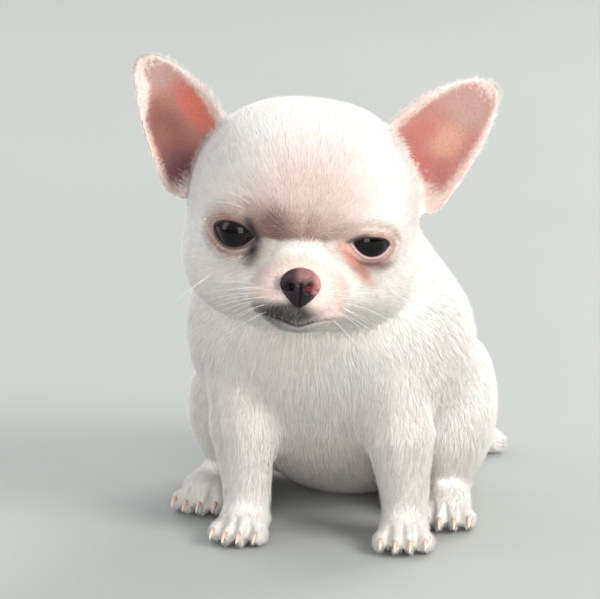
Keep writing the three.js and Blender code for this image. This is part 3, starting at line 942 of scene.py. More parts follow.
# Each streak round the eyes, as seen from the front: its two ends to the side and upwards, half
# its width, its colour and its strength
EYE_MARKS = (
    ((10.0, 0.4), (15.8, -6.8), 1.7, PINK_FOLD, 0.9),
    ((15.0, -6.0), (18.0, -10.5), 1.7, PINK_FOLD, 0.45),
    # brown with painted shade in the crease under the puppy's left eye
    ((15.8, -4.5), (22.0, -5.2), 1.5, LID_BROWN_AND_SHADE, 0.9),
    ((22.4, -2.6), (23.4, 2.6), 1.5, LID_TAN, 0.8),
    ((11.6, 1.4), (16.5, 3.2), 0.8, STAIN, 0.75),
    ((-14.6, 5.0), (-12.4, 0.4), 1.8, STAIN, 1.0),
    ((-12.6, -0.6), (-13.0, -5.2), 2.4, STAIN, 1.0),
)


# Distances from the edge of the opening between which the lids' colours fade
LID_FADE = (0.6, 3.8)
LID_EDGE = (0.3, 1.1)
LOWER_LID_START = (0.6, 1.6)
EYES_FRONT = (-24, -19)  # how far forward the marks round the eyes lie


def eye_colours(head_points, shade):
    """Tan lids, painted darker round the puppy's right eye, which lies in shade, dark stains at the
    inner corners, pink folds below them, and brown with painted shade under the lower lids.
    """
    seen = head_points[:, [0, 2]]
    front = 1 - rise(head_points[:, 1], *EYES_FRONT)
    for side in SIDES:
        eye_points = to_eye(head_points, side)
        away = opening_distance(eye_points, side)
        rim = 1 - rise(away, *LID_FADE)
        outer = 0.45 + 0.55 * rise(eye_points[:, 0], -4, 2)
        below = 1 - rise(eye_points[:, 1], -3.5, -0.5)
        hairs = 1 + 0.25 * waves(head_points, HAIR_GRAIN, seed=53, count=9)
        # painted shade: the lid tan is darker round the puppy's right eye
        shade = painted(shade, LID_TAN if side > 0 else LID_TAN_SHADED, 0.9 * rim * outer * hairs)
        # brown with painted shade under the lower lid
        lower = 0.5 * rim * below * rise(away, *LOWER_LID_START) * hairs
        shade = painted(shade, LID_BROWN_AND_SHADE, lower)
        shade = painted(shade, LID_BROWN_AND_SHADE, 0.75 * (1 - rise(away, *LID_EDGE)))
    for start, end, width, stain, most in EYE_MARKS:
        mark = along_line(seen, np.array(start), np.array(end), width, ends=0.8)
        shade = painted(shade, stain, most * mark * front)
    return shade


# The blush over the brow and the warmer cream of the face: its colour, middle, half sizes,
# softness and strength
FACE_TONES = (
    (BLUSH, (3, -27, 17), (14, 12, 10), 0.8, 0.55),
    (WARM_CREAM, (0, -26, -2), (24, 22, 16), 0.6, 0.6),
)
SKIN_BROW = 1.0  # how strong the band between the eyes is on the skin
TUFT_BROW = 0.7  # and on the tufts


def head_colours(head_points, shade, on_tufts):
    """The face's markings, with the light and shade that is painted among them."""
    for tone, middle, half, softness, most in FACE_TONES:
        shade = painted(shade, tone, most * spot(head_points, middle, half, softness))
    shade = brow_colours(head_points, shade, TUFT_BROW if on_tufts else SKIN_BROW)
    shade = muzzle_colours(head_points, shade, on_tufts)
    return eye_colours(head_points, shade)


# The border of each ear's bare skin, along the ear at its root and its tip and across it
BARE_ROOT = {1: (0.02, 0.16), -1: (-0.13, 0.01)}
BARE_TIP = (0.84, 1.0)
BARE_CROWN_EDGE = (-0.9, -0.72)
BARE_CHEEK_EDGE = 0.84
BARE_CHEEK_FADE = (-0.2, 0.1)
# Where the inside of the ear ends, behind its middle surface and across it
LINING_BEHIND = (-0.6, 0.1)
LINING_ACROSS = (1.0, 1.2)


def ear_bare(head_points, side):
    """How far inside the ear a point is, how bare its skin is there, with a jagged border, and
    its place along and across the ear."""
    along, across, behind = ear_place(head_points, side)
    jag = EAR_JAG * waves(head_points, EAR_GRAIN, seed=61)
    inside = on_side(head_points, side) * (1 - rise(behind, *LINING_BEHIND))
    inside *= 1 - rise(across, *LINING_ACROSS)
    bare = rise(along + jag, *BARE_ROOT[side]) * (1 - rise(along + jag, *BARE_TIP))
    bare *= rise(across + jag, *BARE_CROWN_EDGE)
    border = BARE_CHEEK_EDGE
    if side < 0:
        border = np.clip(0.35 + 2.4 * (0.74 - along), 0.3, 0.88)
    bare *= 1 - rise(across + jag - border, *BARE_CHEEK_FADE)
    return inside, bare, along, across


def ear_colours(head_points, shade):
    """Pink, red and mauve inside the cup, with a painted glow of light through the ears and painted
    shade over the puppy's right ear, and pale at the rim and on the back.
    """
    for side in SIDES:
        inside, bare, along, across = ear_bare(head_points, side)
        shade = painted(shade, EAR_PALE, inside * rise(along, -0.25, 0.0))
        lining = painted(shade, EAR_PINK, inside)
        for patch, middle, centre, half_length, half_width, strength in EAR_PATCHES[side]:
            off = np.hypot((along - middle) / half_length, (across - centre) / half_width)
            lining = painted(lining, patch, strength * (1 - rise(off, 0.35, 1.35)) * inside)
        shade = shade + (lining - shade) * (inside * bare)[:, None]
    return shade


# Where each part of the coat's markings fades in: by its zone's share or by how far it faces down
ON_HEAD = (0.3, 0.7)
ON_EAR = (0.25, 0.6)
UNDERSIDE = (0.2, 0.8)
PINK_SOLE = ((0.6, 0.95), (0.5, 2))  # how far it faces down and how high it lies


def coat_colours(points, weights, normals, on_tufts=False):
    """The one pattern of markings, with its painted light and shade, that skin and tufts share."""
    head_points = to_head(points)
    shade = np.tile(CREAM, (len(points), 1))
    patches = 0.5 + 0.5 * waves(points, CREAM_PATCHES, seed=3)
    shade = painted(shade, WARM_CREAM, 0.45 * patches)
    on_head = rise(zone(weights, "head") + zone(weights, "ears"), *ON_HEAD)
    shade = shade + (head_colours(head_points, shade, on_tufts) - shade) * on_head[:, None]
    on_ear = rise(zone(weights, "ears"), *ON_EAR)
    shade = shade + (ear_colours(head_points, shade) - shade) * on_ear[:, None]
    under = rise(-normals[:, 2], *UNDERSIDE) * zone(weights, "body")
    shade = painted(shade, BLUSH, 0.3 * under)
    return painted(shade, SOLE_PINK, 0.6 * sole_share(points, normals, *PINK_SOLE))


# The lie of the coat
def ear_front(head_points, side):
    """1 on the skull just in front of the line where the ear leaves it."""
    along, across, behind = ear_place(head_points, side)
    here = on_side(head_points, side) * rise(along, -0.3, 0.0) * (1 - rise(along, 0.5, 0.7))
    beside = rise(across, -1.2, -0.95) * (1 - rise(across, 0.5, 0.9))
    return here * beside * ridge(behind, -2.0, 2.4)


FLOW_APEX = (0.0, -43.0, -5.0)  # the place on the nose that the hairs of the head lead away from
HEAD_DRIFT = (0, 0.25, -0.1)
EYE_PARTING = 0.9  # how strongly the hairs lead away from the eyes
EYE_PARTING_REACH = 11
EAR_PULL = 0.75  # how strongly the hairs before an ear lead up it
SWAY = 0.16
SWAY_SIZE = 14


def head_flow(head_points):
    """Back from the nose and away from the eyes, and up the front of the ears."""
    flow = unit(head_points - np.array(FLOW_APEX)) + np.array(HEAD_DRIFT)
    for side in SIDES:
        offset = head_points - eye_middle(side)
        near = ridge(np.linalg.norm(offset, axis=1), 0, EYE_PARTING_REACH)
        flow = flow + EYE_PARTING * near[:, None] * unit(offset)
    for side in SIDES:
        axis, width = ear_directions(side)
        front = ear_front(head_points, side)[:, None]
        flow = unit(flow) * (1 - EAR_PULL * front) + (axis + 0.3 * width) * EAR_PULL * front
    return unit(flow @ HEAD_AXES.T)


def ear_flow(head_points):
    """Along each ear to its tip, and outwards over its rim."""
    flow = np.zeros_like(head_points)
    for side in SIDES:
        _, across, behind = ear_place(head_points, side)
        axis, width = ear_directions(side)
        outwards = np.clip(across, -1, 1)[:, None] * width
        here = on_side(head_points, side)[:, None]
        inner = (behind < 0)[:, None]
        way = 0.7 * axis + np.where(inner, 0.6 * width, 0.4 * outwards)
        rim = rise(np.abs(across), 0.7, 0.95)[:, None]
        way = way * (1 - rim) + (axis + 0.5 * outwards) * rim
        flow += here * (way @ HEAD_AXES.T)
    return unit(flow)


def body_flow(points, normals):
    """Down and outwards on the chest and the sides, and backwards on the back."""
    side_share = np.clip(points[:, 0] / 30, -1, 1)[:, None]
    over = rise(normals[:, 2], 0.2, 0.8)[:, None]
    flow = np.array([0.0, 0.35, -1.0]) + side_share * np.array([0.35, 0, 0])
    return unit(flow + over * np.array([0, 1.2, 0]))


def tail_flow(points):
    """Along the tail, which bends to the puppy's left."""
    flow = np.tile(np.array([0.5, 0.6, -0.2]), (len(points), 1))
    flow[:, 0] += rise(points[:, 1], 44, 62) * 1.2
    flow[:, 1] -= rise(points[:, 1], 50, 64) * 0.5
    return unit(flow)


def leg_flow(points):
    """Down the legs, and forwards over the feet."""
    foot = (1 - rise(points[:, 2], 3, 19))[:, None]
    return unit(np.array([0.0, -0.15, -1.0]) + foot * np.array([0, -1.3, 0.3]))


def coat_flow(points, normals, weights):
    """The way the hairs point along the skin, as unit vectors."""
    head_points = to_head(points)
    flows = {
        "head": head_flow(head_points),
        "ears": ear_flow(head_points),
        "body": body_flow(points, normals),
        "tail": tail_flow(points),
        "legs": leg_flow(points),
    }
    flow = sum(way * zone(weights, name)[:, None] for name, way in flows.items())
    sway = np.stack([waves(points, SWAY_SIZE, seed) for seed in (21, 22, 23)], 1)
    flow = unit(flow) + SWAY * sway
    return unit(flow - (flow * normals).sum(1, keepdims=True) * normals)


# The tufts

# Each zone's hair: its length, its width, its number to the square millimetre and its lift from
# the skin, in degrees
HAIR = {
    "body": (4.2, 0.29, 7.5, 10),
    "head": (3.2, 0.21, 11.0, 10),
    "ears": (1.5, 0.14, 13.0, 6),
    "tail": (3.2, 0.30, 8.0, 12),
    "legs": (3.2, 0.25, 8.0, 10),
}
# What is added to that on the front of the face, on the muzzle and on the paws
FACE_HAIR = (-0.9, -0.03, 4.0, 0)
MUZZLE_HAIR = (-0.7, -0.02, 1.0, 0)
PAW_HAIR = (-1.3, -0.05, 3.0, 2)

EAR_RIM = (0.75, 0.95)  # across the ear
LID_BARE = (0.35, 0.7)  # from the edge of the opening
NOSE_BARE = (0.2, 0.6)  # from the leather
LIPS_BARE = (0.6, 1.1)  # from the line of the mouth
BARE_SOLE = ((0.6, 0.9), (0.4, 1.5))  # how far it faces down and how high it lies
LIP_THINNING = 0.72
LIP_LIFT = 10
FRINGE_LENGTH = 2.0  # added to the hairs before an ear
FRINGE_LIFT = 7
LID_LIFT = 12
LID_LIFT_END = (0.6, 3.0)

# Near the eyes and the nose: the share of its length that the hair starts with, and the distances
# between which it grows to the whole
NEAR_EYE = (0.34, 0.4, 4.5)
NEAR_NOSE = (0.35, 0.3, 3.5)


def hair_by_zone(head_points, points, weights):
    """Each point's hair length, width, number and lift, before the bare places are left out."""
    shares = [(zone(weights, name), hair) for name, hair in HAIR.items()]
    shares.append((face_share(head_points, weights), FACE_HAIR))
    shares.append((muzzle_share(head_points, weights), MUZZLE_HAIR))
    shares.append((paw_share(points, weights, PAW_HAIR_TOP), PAW_HAIR))
    return sum(share[:, None] * np.array(hair) for share, hair in shares).T


def shortening(away, least, low, high):
    return least + (1 - least) * rise(away, low, high)


def coat_plan(points, normals, weights):
    """Each point's hair length, width, number to the square millimetre and lift, in degrees."""
    head_points = to_head(points)
    length, width, number, lift = hair_by_zone(head_points, points, weights)
    for side in SIDES:
        inside, bare, _, across = ear_bare(head_points, side)
        inner = zone(weights, "ears") * inside
        rim = zone(weights, "ears") * rise(np.abs(across), *EAR_RIM)
        fringe = ear_front(head_points, side)
        number = number * (1 - inner * bare) ** 2
        length = length + 0.5 * inner * (1 - bare) * (1 - rim) + FRINGE_LENGTH * fringe
        lift = lift * (1 - 0.6 * rim) + FRINGE_LIFT * fringe
        width = width * (1 - 0.15 * rim)
        away = opening_distance(to_eye(head_points, side), side)
        number = number * rise(away, *LID_BARE)
        length = length * shortening(away, *NEAR_EYE)
        lift = lift + LID_LIFT * (1 - rise(away, *LID_LIFT_END))
    nose = nose_away(head_points)
    number = number * rise(nose, *NOSE_BARE)
    length = length * shortening(nose, *NEAR_NOSE)
    gap, present = mouth_gap(head_points)
    number = number * (1 - present * (1 - rise(np.abs(gap), *LIPS_BARE)))
    lip = spot(head_points, LIP_MIDDLE, LIP_HALF, LIP_SOFTNESS) * zone(weights, "head")
    number = number * (1 - LIP_THINNING * lip)
    lift = lift + LIP_LIFT * lip
    number = number * (1 - sole_share(points, normals, *BARE_SOLE))
    return length, width, number, lift


def scattered(points, triangles, number, draw):
    """Roots spread over the skin by how many tufts a square millimetre carries."""
    a, b, c = (points[triangles[:, i]] for i in range(3))
    area = np.linalg.norm(np.cross(b - a, c - a), axis=1) / 2
    wanted = area * number[triangles].mean(1)
    total = np.cumsum(wanted)
    count = int(total[-1])
    marks = (np.arange(count) + draw.uniform(size=count)) * total[-1] / count
    face = np.minimum(np.searchsorted(total, marks), len(triangles) - 1)
    first, second = draw.uniform(size=(2, count))
    flip = first + second > 1
    first[flip], second[flip] = 1 - first[flip], 1 - second[flip]
    return face, np.stack([1 - first - second, first, second], 1)


TUFT_FACES = np.array([[0, 2, 1], [0, 1, 3], [1, 2, 3], [2, 0, 3]])
TUFT_POINTS = 4
# How much of the skin's and of the hair's colour a tuft has at its three root points and its tip:
# the roots are darkened a little as painted shade among the hairs, and the tips lightened a little
# as painted light.
TUFT_TONES = np.array([[0.92, 0.0], [0.92, 0.0], [0.92, 0.0], [0.0, 1.06]])
PATCH = 0.0015  # half the size of a tuft's patch on the map
TUFT_PATCH = PATCH * np.array([[-1, -1], [1, -1], [0, 0], [0, 1]])
TUFT_THICKNESS = 0.6  # to its width
TUFT_ROOT = 0.1  # how far its foot is below the skin
TUFT_STRAY = 0.14  # how far its way strays to the side
TUFT_SPARKLE = 0.14  # how far the tufts' shading strays from the skin's
LOWEST_HAIR = 0.05  # over the floor
PIECE_TUFTS = 45000
FACE_BORDER = 0.4  # the share of face from which a tuft belongs to the face's pieces

# The ranges of one tuft's own length, width, lift and lightness, against its neighbours'
LENGTHS = (0.7, 1.25)
WIDTHS = (0.75, 1.25)
LIFTS = (0.4, 1.9)
LIGHTNESSES = (0.94, 1.05)
DARKER_TUFTS = 0.12  # the share of them
DARKER_BY = 0.08


def tuft_points(root, normal, way, length, width, lift):
    """Slim three-sided hair tufts that rise a little from the skin along their way, and the
    direction that each of their points faces."""
    side = np.cross(normal, way)
    steep = np.radians(lift)[:, None]
    rising = way * np.cos(steep) + normal * np.sin(steep)
    foot = root - normal * TUFT_ROOT
    corners, outward = [], []
    for turn in (90, 210, 330):
        flat = math.cos(math.radians(turn)) * side
        high = TUFT_THICKNESS * math.sin(math.radians(turn)) * normal
        corners.append(foot + (flat + high) * (0.5 * width)[:, None])
        outward.append(flat + high)
    corners.append(root + rising * length[:, None])
    outward.append(rising)
    return np.stack(corners, 1), unit(np.stack(outward, 1))


def skin_uv(mesh):
    """The map's place of each corner of each triangle."""
    flat = np.zeros(len(mesh.loops) * 2)
    mesh.uv_layers["OFBake"].data.foreach_get("uv", flat)
    loops = np.zeros(len(mesh.loop_triangles) * 3, np.int32)
    mesh.loop_triangles.foreach_get("loops", loops)
    return flat.reshape(-1, 2)[loops].reshape(-1, 3, 2)


def tuft_piece(name, shape, facing, colours, patch, material):
    """One mesh of many tufts, with their shading, their colours and their places on the map."""
    count = len(shape)
    offsets = np.arange(count)[:, None, None] * TUFT_POINTS
    faces = (TUFT_FACES[None] + offsets).reshape(-1, 3)
    mesh = mesh_of(name, shape.reshape(-1, 3), faces)
    tint(mesh, colours.reshape(-1, 3))
    mesh.normals_split_custom_set_from_vertices(facing.reshape(-1, 3))
    layer = mesh.uv_layers.new(name="OFBake")
    places = (patch[:, None] + TUFT_PATCH[None]).reshape(-1, 2)
    layer.data.foreach_set("uv", places[faces.ravel()].astype(np.float32).ravel())
    return placed(name, mesh, material)


def tuft_shapes(root, normal, way, length, width, lift, draw):
    """Each tuft's shape, a little unlike its neighbours', and the directions its points face."""
    count = len(root)
    way = unit(way - (way * normal).sum(1, keepdims=True) * normal)
    stray = draw.normal(size=count)[:, None] * TUFT_STRAY
    way = unit(way + stray * np.cross(normal, way))
    length = length * draw.uniform(*LENGTHS, count)
    width = width * draw.uniform(*WIDTHS, count)
    lift = lift * draw.uniform(*LIFTS, count)
    shape, outward = tuft_points(root, normal, way, length, width, lift)
    shape[:, :, 2] = np.maximum(shape[:, :, 2], LOWEST_HAIR)
    return shape, outward


def tuft_facing(normal, outward, weights, draw):
    """The directions the tufts are shaded by: mostly the skin's, and more their own on the ears
    and the tail."""
    own = 0.25 + 0.45 * (zone(weights, "ears") + zone(weights, "tail"))
    own = own[:, None, None]
    like_skin = unit(normal + TUFT_SPARKLE * draw.normal(size=normal.shape))
    return unit(like_skin[:, None] * (1 - own) + outward * own)


def tuft_colours(root, normal, weights, draw):
    """Each tuft's colours, from the skin's at its root to the hair's at its tip."""
    hair = coat_colours(root, weights, normal, on_tufts=True)
    under = coat_colours(root, weights, normal)
    light = draw.uniform(*LIGHTNESSES, len(root))
    light = light - DARKER_BY * (draw.uniform(size=len(root)) < DARKER_TUFTS)
    colours = under[:, None] * TUFT_TONES[None, :, :1] + hair[:, None] * TUFT_TONES[None, :, 1:]
    return colours * light[:, None, None]


def coat_pieces(root, weights):
    """Each coat piece's name and tufts, by zone and with the front of the face on its own."""
    on_face = face_share(to_head(root), weights) > FACE_BORDER
    zone_of = np.where(on_face, len(ZONES), weights.argmax(1))
    for index, label in enumerate([*ZONES, "face"]):
        chosen = np.flatnonzero(zone_of == index)
        for number, start in enumerate(range(0, len(chosen), PIECE_TUFTS)):
            yield f"coat_{label}_{number + 1}", chosen[start:start + PIECE_TUFTS]


def build_coat(skin, material):
    """Covers the skin with short tufts, in pieces by zone."""
    draw = np.random.default_rng(SEED)
    points, triangles, normals = skin["points"], skin["triangles"], skin["normals"]
    length, width, number, lift = coat_plan(points, normals, skin["weights"])
    flow = coat_flow(points, normals, skin["weights"])
    face, inside = scattered(points, triangles, number, draw)
    corners = triangles[face]

    def at_root(values):
        picked = values[corners]
        share = inside if picked.ndim == 2 else inside[:, :, None]
        return (picked * share).sum(1)

    root = at_root(points)
    normal = unit(at_root(normals))
    weights = at_root(skin["weights"])
    sizes = at_root(length), at_root(width), at_root(lift)
    shape, outward = tuft_shapes(root, normal, at_root(flow), *sizes, draw)
    facing = tuft_facing(normal, outward, weights, draw)
    colours = tuft_colours(root, normal, weights, draw)
    patch = (skin_uv(skin["mesh"])[face] * inside[:, :, None]).sum(1)
    for name, part in coat_pieces(root, weights):
        tuft_piece(name, shape[part], facing[part], colours[part], patch[part], material)


# Ball-like pieces
def ball_grid(rows, columns):
    """Unit directions from pole to pole, and the faces between them. The first pole is +Z."""
    polar = np.linspace(0, math.pi, rows + 1)[1:-1]
    around = np.arange(columns) * 2 * math.pi / columns
    tilt, turn = np.meshgrid(polar, around, indexing="ij")
    ring = np.stack([np.sin(tilt) * np.cos(turn), np.sin(tilt) * np.sin(turn), np.cos(tilt)], 2)
    points = np.vstack([[0, 0, 1], ring.reshape(-1, 3), [0, 0, -1]])
    faces = []
    last = len(points) - 1
    for column in range(columns):
        following = (column + 1) % columns
        faces.append([0, 1 + column, 1 + following])
        base = 1 + (rows - 2) * columns
        faces.append([last, base + following, base + column])
        for row in range(rows - 2):
            a = 1 + row * columns + column
            b = 1 + row * columns + following
            faces.append([a, a + columns, b + columns])
            faces.append([a, b + columns, b])
    return points, np.array(faces)


PUPIL = colour(4, 4, 5)
IRIS = colour(22, 15, 14)
IRIS_EDGE = colour(10, 7, 8)
EYE_WHITE = colour(62, 44, 42)
EYE_ROWS = 72
EYE_COLUMNS = 96
EYE_INSET = 0.35  # of its surface inside the eyeball's radius
EYE_BULGE = 0.4  # of the clear front

# Degrees from the middle of the gaze between which each part of the eye fades into the next
BULGE_END = (20, 52)
PUPIL_END = (20, 24)
IRIS_DARKENING = (42, 50)
IRIS_END = (53, 57)


def build_eye(side, material):
    """A wet dark eye with a clear bulge in front, a pupil, an iris and a rim."""
    directions, faces = ball_grid(EYE_ROWS, EYE_COLUMNS)
    angle = np.degrees(np.arccos(np.clip(directions[:, 2], -1, 1)))
    turn = np.arctan2(directions[:, 1], directions[:, 0])
    radius = EYE_RADIUS - EYE_INSET + EYE_BULGE * (1 - rise(angle, *BULGE_END))
    points = from_head(from_eye(directions * radius[:, None], side))
    streaks = 0.5 + 0.5 * np.sin(turn * 31 + 2 * np.sin(turn * 7))
    shade = np.tile(IRIS, (len(points), 1)) * (0.7 + 0.6 * streaks)[:, None]
    shade = painted(shade, PUPIL, 1 - rise(angle, *PUPIL_END))
    shade = painted(shade, IRIS_EDGE, rise(angle, *IRIS_DARKENING))
    shade = painted(shade, EYE_WHITE, rise(angle, *IRIS_END))
    name = f"eyeball_{SIDES[side]}"
    mesh = mesh_of(name, points, faces)
    tint(mesh, shade)
    piece = placed(name, mesh, material)
    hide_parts(f"eye_{SIDES[side]}")

# Each point across a lid's rounded edge: its distance from the opening's edge and its height
LID_PROFILE = (
    (-0.45, -0.75), (-0.3, -0.1), (-0.16, 0.16), (0.0, 0.3), (0.18, 0.37),
    (0.38, 0.36), (0.6, 0.24), (0.85, 0.0), (1.05, -0.35),
)
LID_RIM_DARK = colour(40, 27, 27)
# painted highlight on the wet edge of the lower lid, strong on the puppy's left eye and faint on the
# shaded right one
LID_RIM_HIGHLIGHT = colour(232, 200, 196)
# the lids' skin for each side, painted darker round the puppy's right eye as shade
LID_SKIN_LIT_AND_SHADED = {1: colour(182, 146, 134), -1: colour(146, 112, 102)}
LID_STEPS = 70
RIM_HIGHLIGHT = {1: 0.9, -1: 0.12}  # how pale the lower lid's moist edge is
DARK_CORNER = {1: 0.5, -1: 1.0}  # how dark the inner corner stays


def build_lids(side, material):
    """The rounded edges of both lids, swept round the opening on the eyeball."""
    edge = almond(side, LID_STEPS)
    count = len(edge)
    forward = unit(np.roll(edge, -1, 0) - np.roll(edge, 1, 0))
    radial = unit(edge)
    outward = -unit(np.cross(radial, forward))
    outward = np.where(((outward * edge)[:, :2].sum(1) > 0)[:, None], outward, -outward)
    rings = []
    shades = []
    lower = 1 - rise(edge[:, 1], -0.6, 0.6)
    inner = (1 - rise(edge[:, 0], -4.5, -2.5)) * DARK_CORNER[side]
    for reach, height in LID_PROFILE:
        angle = reach / EYE_RADIUS
        way = radial * math.cos(angle) + outward * math.sin(angle)
        rings.append(way * (EYE_RADIUS + height))
        shade = np.tile(LID_RIM_DARK, (count, 1))
        # painted highlight along the lower lid's wet edge
        shade = painted(shade, LID_RIM_HIGHLIGHT, lower * RIM_HIGHLIGHT[side] * ridge(reach, 0.1, 0.25))
        fade = float(rise(np.array(reach), 0.2, 0.7))
        shades.append(painted(shade, LID_SKIN_LIT_AND_SHADED[side], fade * (1 - inner)))
    faces = []
    for ring in range(len(LID_PROFILE) - 1):
        for i in range(count):
            a, b = ring * count + i, ring * count + (i + 1) % count
            faces.append([a, b, b + count, a + count])
    name = f"lids_{SIDES[side]}"
    mesh = mesh_of(name, from_head(from_eye(np.vstack(rings), side)), np.array(faces))
    tint(mesh, np.vstack(shades))
    placed(name, mesh, material)


# The nose
NOSE_BLACK = colour(34, 25, 31)
NOSE_PLUM = colour(150, 108, 108)
NOSE_WING = colour(196, 142, 138)
NOSTRIL_RED = colour(98, 27, 37)
NOSE_ROWS = 110
NOSE_COLUMNS = 150
NOSE_ORIGIN = (0, 0.5, -0.6)  # where the rays to its surface start, from its middle
NOSE_SEARCH = 14.0  # the length of those rays
NOSE_ROUNDS = 30
NOSE_FRONT = (38.0, 39.6)  # how far forward its front begins
PEBBLE_SIZE = 0.9
PEBBLE_HEIGHT = 0.035
GROOVE_DEPTH = 0.55
NOSTRIL_DEPTH = 1.5
NOSTRIL_MIDDLE = (2.75, -40.6, -8.3)
NOSTRIL_HALF = {1: (1.6, 2.3, 1.45), -1: (1.2, 2.3, 1.15)}
NOSTRIL_EDGE = (0.55, 1.15)  # in nostril sizes from its middle
RIM_AT = 1.5
RIM_WIDTH = 0.35
RIM_HEIGHT = 0.22
SLIT_END = (4.9, -38.9, -9.6)
SLIT_DEPTH = 0.75  # of the nostril's
SLIT_WIDTH = 0.5


def nose_surface():
    """The smooth form of the leather: its points, the way to each from inside it, and its faces."""
    directions, faces = ball_grid(NOSE_ROWS, NOSE_COLUMNS)
    directions = directions[:, [0, 2, 1]] * np.array([1, -1, 1])
    origin = np.array(NOSE_MIDDLE) + np.array(NOSE_ORIGIN)
    low = np.zeros(len(directions))
    high = np.full(len(directions), NOSE_SEARCH)
    for _ in range(NOSE_ROUNDS):
        middle = (low + high) / 2
        inside = nose_away(origin + directions * middle[:, None]) < 0
        low = np.where(inside, middle, low)
        high = np.where(inside, high, middle)
    return origin + directions * low[:, None], directions, faces


def nostrils(points):
    """How deep in a nostril or its slit a point is, and how much it is on a nostril's rim."""
    holes = np.zeros(len(points))
    rims = np.zeros(len(points))
    for side in SIDES:
        hole = mirrored(NOSTRIL_MIDDLE, side)
        line = mirrored(SLIT_END, side) - hole
        away = np.linalg.norm((points - hole) / np.array(NOSTRIL_HALF[side]), axis=1)
        holes = np.maximum(holes, 1 - rise(away, *NOSTRIL_EDGE))
        share = np.clip((points - hole) @ line / (line @ line), 0, 1)
        off = np.linalg.norm(points - hole - share[:, None] * line, axis=1)
        holes = np.maximum(holes, SLIT_DEPTH * ridge(off, 0, SLIT_WIDTH) * (1 - 0.4 * share))
        rims += ridge(away, RIM_AT, RIM_WIDTH)
    return holes, rims


def nose_colours(smooth, holes):
    """Dark leather, paler on top and at the left wing, with one red and one black nostril. It
    goes by the points' places before the nostrils and the groove are cut."""
    x, _, z = smooth.T
    shade = np.tile(NOSE_BLACK, (len(smooth), 1))
    shade = painted(shade, NOSE_PLUM, rise(z, -7.4, -5.2) * (0.12 + 0.8 * rise(x, -2.6, 0.4)))
    shade = painted(shade, NOSE_WING, 0.9 * rise(x, 2.6, 4.4) * rise(z, -11.5, -9.0))
    shade = painted(shade, NOSTRIL_RED, holes * (x > 0))
    return painted(shade, PUPIL, 0.9 * holes * (x < 0))


def build_nose(material):
    """The nose leather, with comma-shaped nostrils and a groove down its middle."""
    smooth, directions, faces = nose_surface()
    x, y, z = smooth.T
    front = rise(-y, *NOSE_FRONT)
    groove = ridge(x, 0, 0.32) * front * (1 - rise(z, -7.5, -5.5))
    holes, rims = nostrils(smooth)
    dent = GROOVE_DEPTH * groove - RIM_HEIGHT * rims * front + NOSTRIL_DEPTH * holes
    dent += PEBBLE_HEIGHT * waves(smooth, PEBBLE_SIZE, seed=41, count=14) * (1 - holes)
    points = smooth - directions * dent[:, None]
    mesh = mesh_of("nose_leather", from_head(points), faces)
    tint(mesh, nose_colours(smooth, holes))
    piece = placed("nose_leather", mesh, material)
    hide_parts("nose")


# Claws and whiskers, each a tapered tube of rings
UP = np.array([0, 0, 1.0])


def tube(centres, radii, side, above, around):
    """The points of the rings round a row of centres, and the triangles that close them."""
    points = []
    for centre, radius in zip(centres, radii):
        for step in range(around):
            angle = 2 * math.pi * step / around
            offset = side * math.cos(angle) + above * math.sin(angle)
            points.append(centre + offset * radius)
    faces = []
    tip = (len(centres) - 1) * around
    for base in range(0, tip, around):
        for step in range(around):
            a, b = base + step, base + (step + 1) % around
            faces.append([a, b, b + around])
            faces.append([a, b + around, a + around])
    for step in range(1, around - 1):
        faces.append([0, step + 1, step])
        faces.append([tip, tip + step, tip + step + 1])
    return np.array(points), np.array(faces)


def joined(tubes):
    """Several tubes of the same number of points as one list of points and of triangles."""
    each = len(tubes[0][0])
    shifted = [triangles + number * each for number, (_, triangles) in enumerate(tubes)]
    return np.vstack([points for points, _ in tubes]), np.vstack(shifted)


CLAW_BASE = colour(196, 158, 140)
CLAW_END = colour(232, 214, 198)
CLAW_RINGS = 9
CLAW_AROUND = 12
CLAW_LENGTH = 2.9
CLAW_RADIUS = 0.72
CLAW_FLATNESS = 0.8
CLAW_TIP = 0.03
CLAW_BACK = 1.45  # from the middle of the solid claw to the root of this one
CLAW_BELOW = 0.85  # from the top of the solid claw to the root of this one
CLAW_DROP = 0.35  # straight down by its tip
CLAW_CURVE = 1.7  # further down by its tip, ever more steeply
LOWEST_CLAW = 0.03  # over the floor


def claw_tube(name, heading, across):
    """One curved claw in the place of the solid one."""
    low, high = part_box(name)
    low, high = np.array(low) / MM, np.array(high) / MM
    middle = (low + high) / 2
    root = middle - heading * CLAW_BACK + UP * (high[2] - middle[2] - CLAW_BELOW)
    share = np.arange(CLAW_RINGS) / (CLAW_RINGS - 1)
    drop = -CLAW_DROP * share - CLAW_CURVE * share ** 2
    centres = root + heading * CLAW_LENGTH * share[:, None] + UP * drop[:, None]
    radii = CLAW_RADIUS * (1 - share ** 2.2) ** 0.8 + CLAW_TIP
    points, faces = tube(centres, radii, across * CLAW_FLATNESS, UP, CLAW_AROUND)
    points[:, 2] = np.maximum(points[:, 2], LOWEST_CLAW)
    return points, faces


def build_claws(foot, turn, material):
    """The four small claws of a foot."""
    claws = [claw_tube(f"claw_{foot}_{number}", *foot_axes(turn)) for number in TOES]
    points, faces = joined(claws)
    share = np.tile(np.repeat(np.arange(CLAW_RINGS) / (CLAW_RINGS - 1), CLAW_AROUND), len(claws))
    name = f"claws_{foot}"
    mesh = mesh_of(name, points, faces)
    tint(mesh, CLAW_BASE + (CLAW_END - CLAW_BASE) * share[:, None])
    piece = placed(name, mesh, material)
    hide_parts(*(f"claw_{foot}_{number}" for number in range(1, 5)))


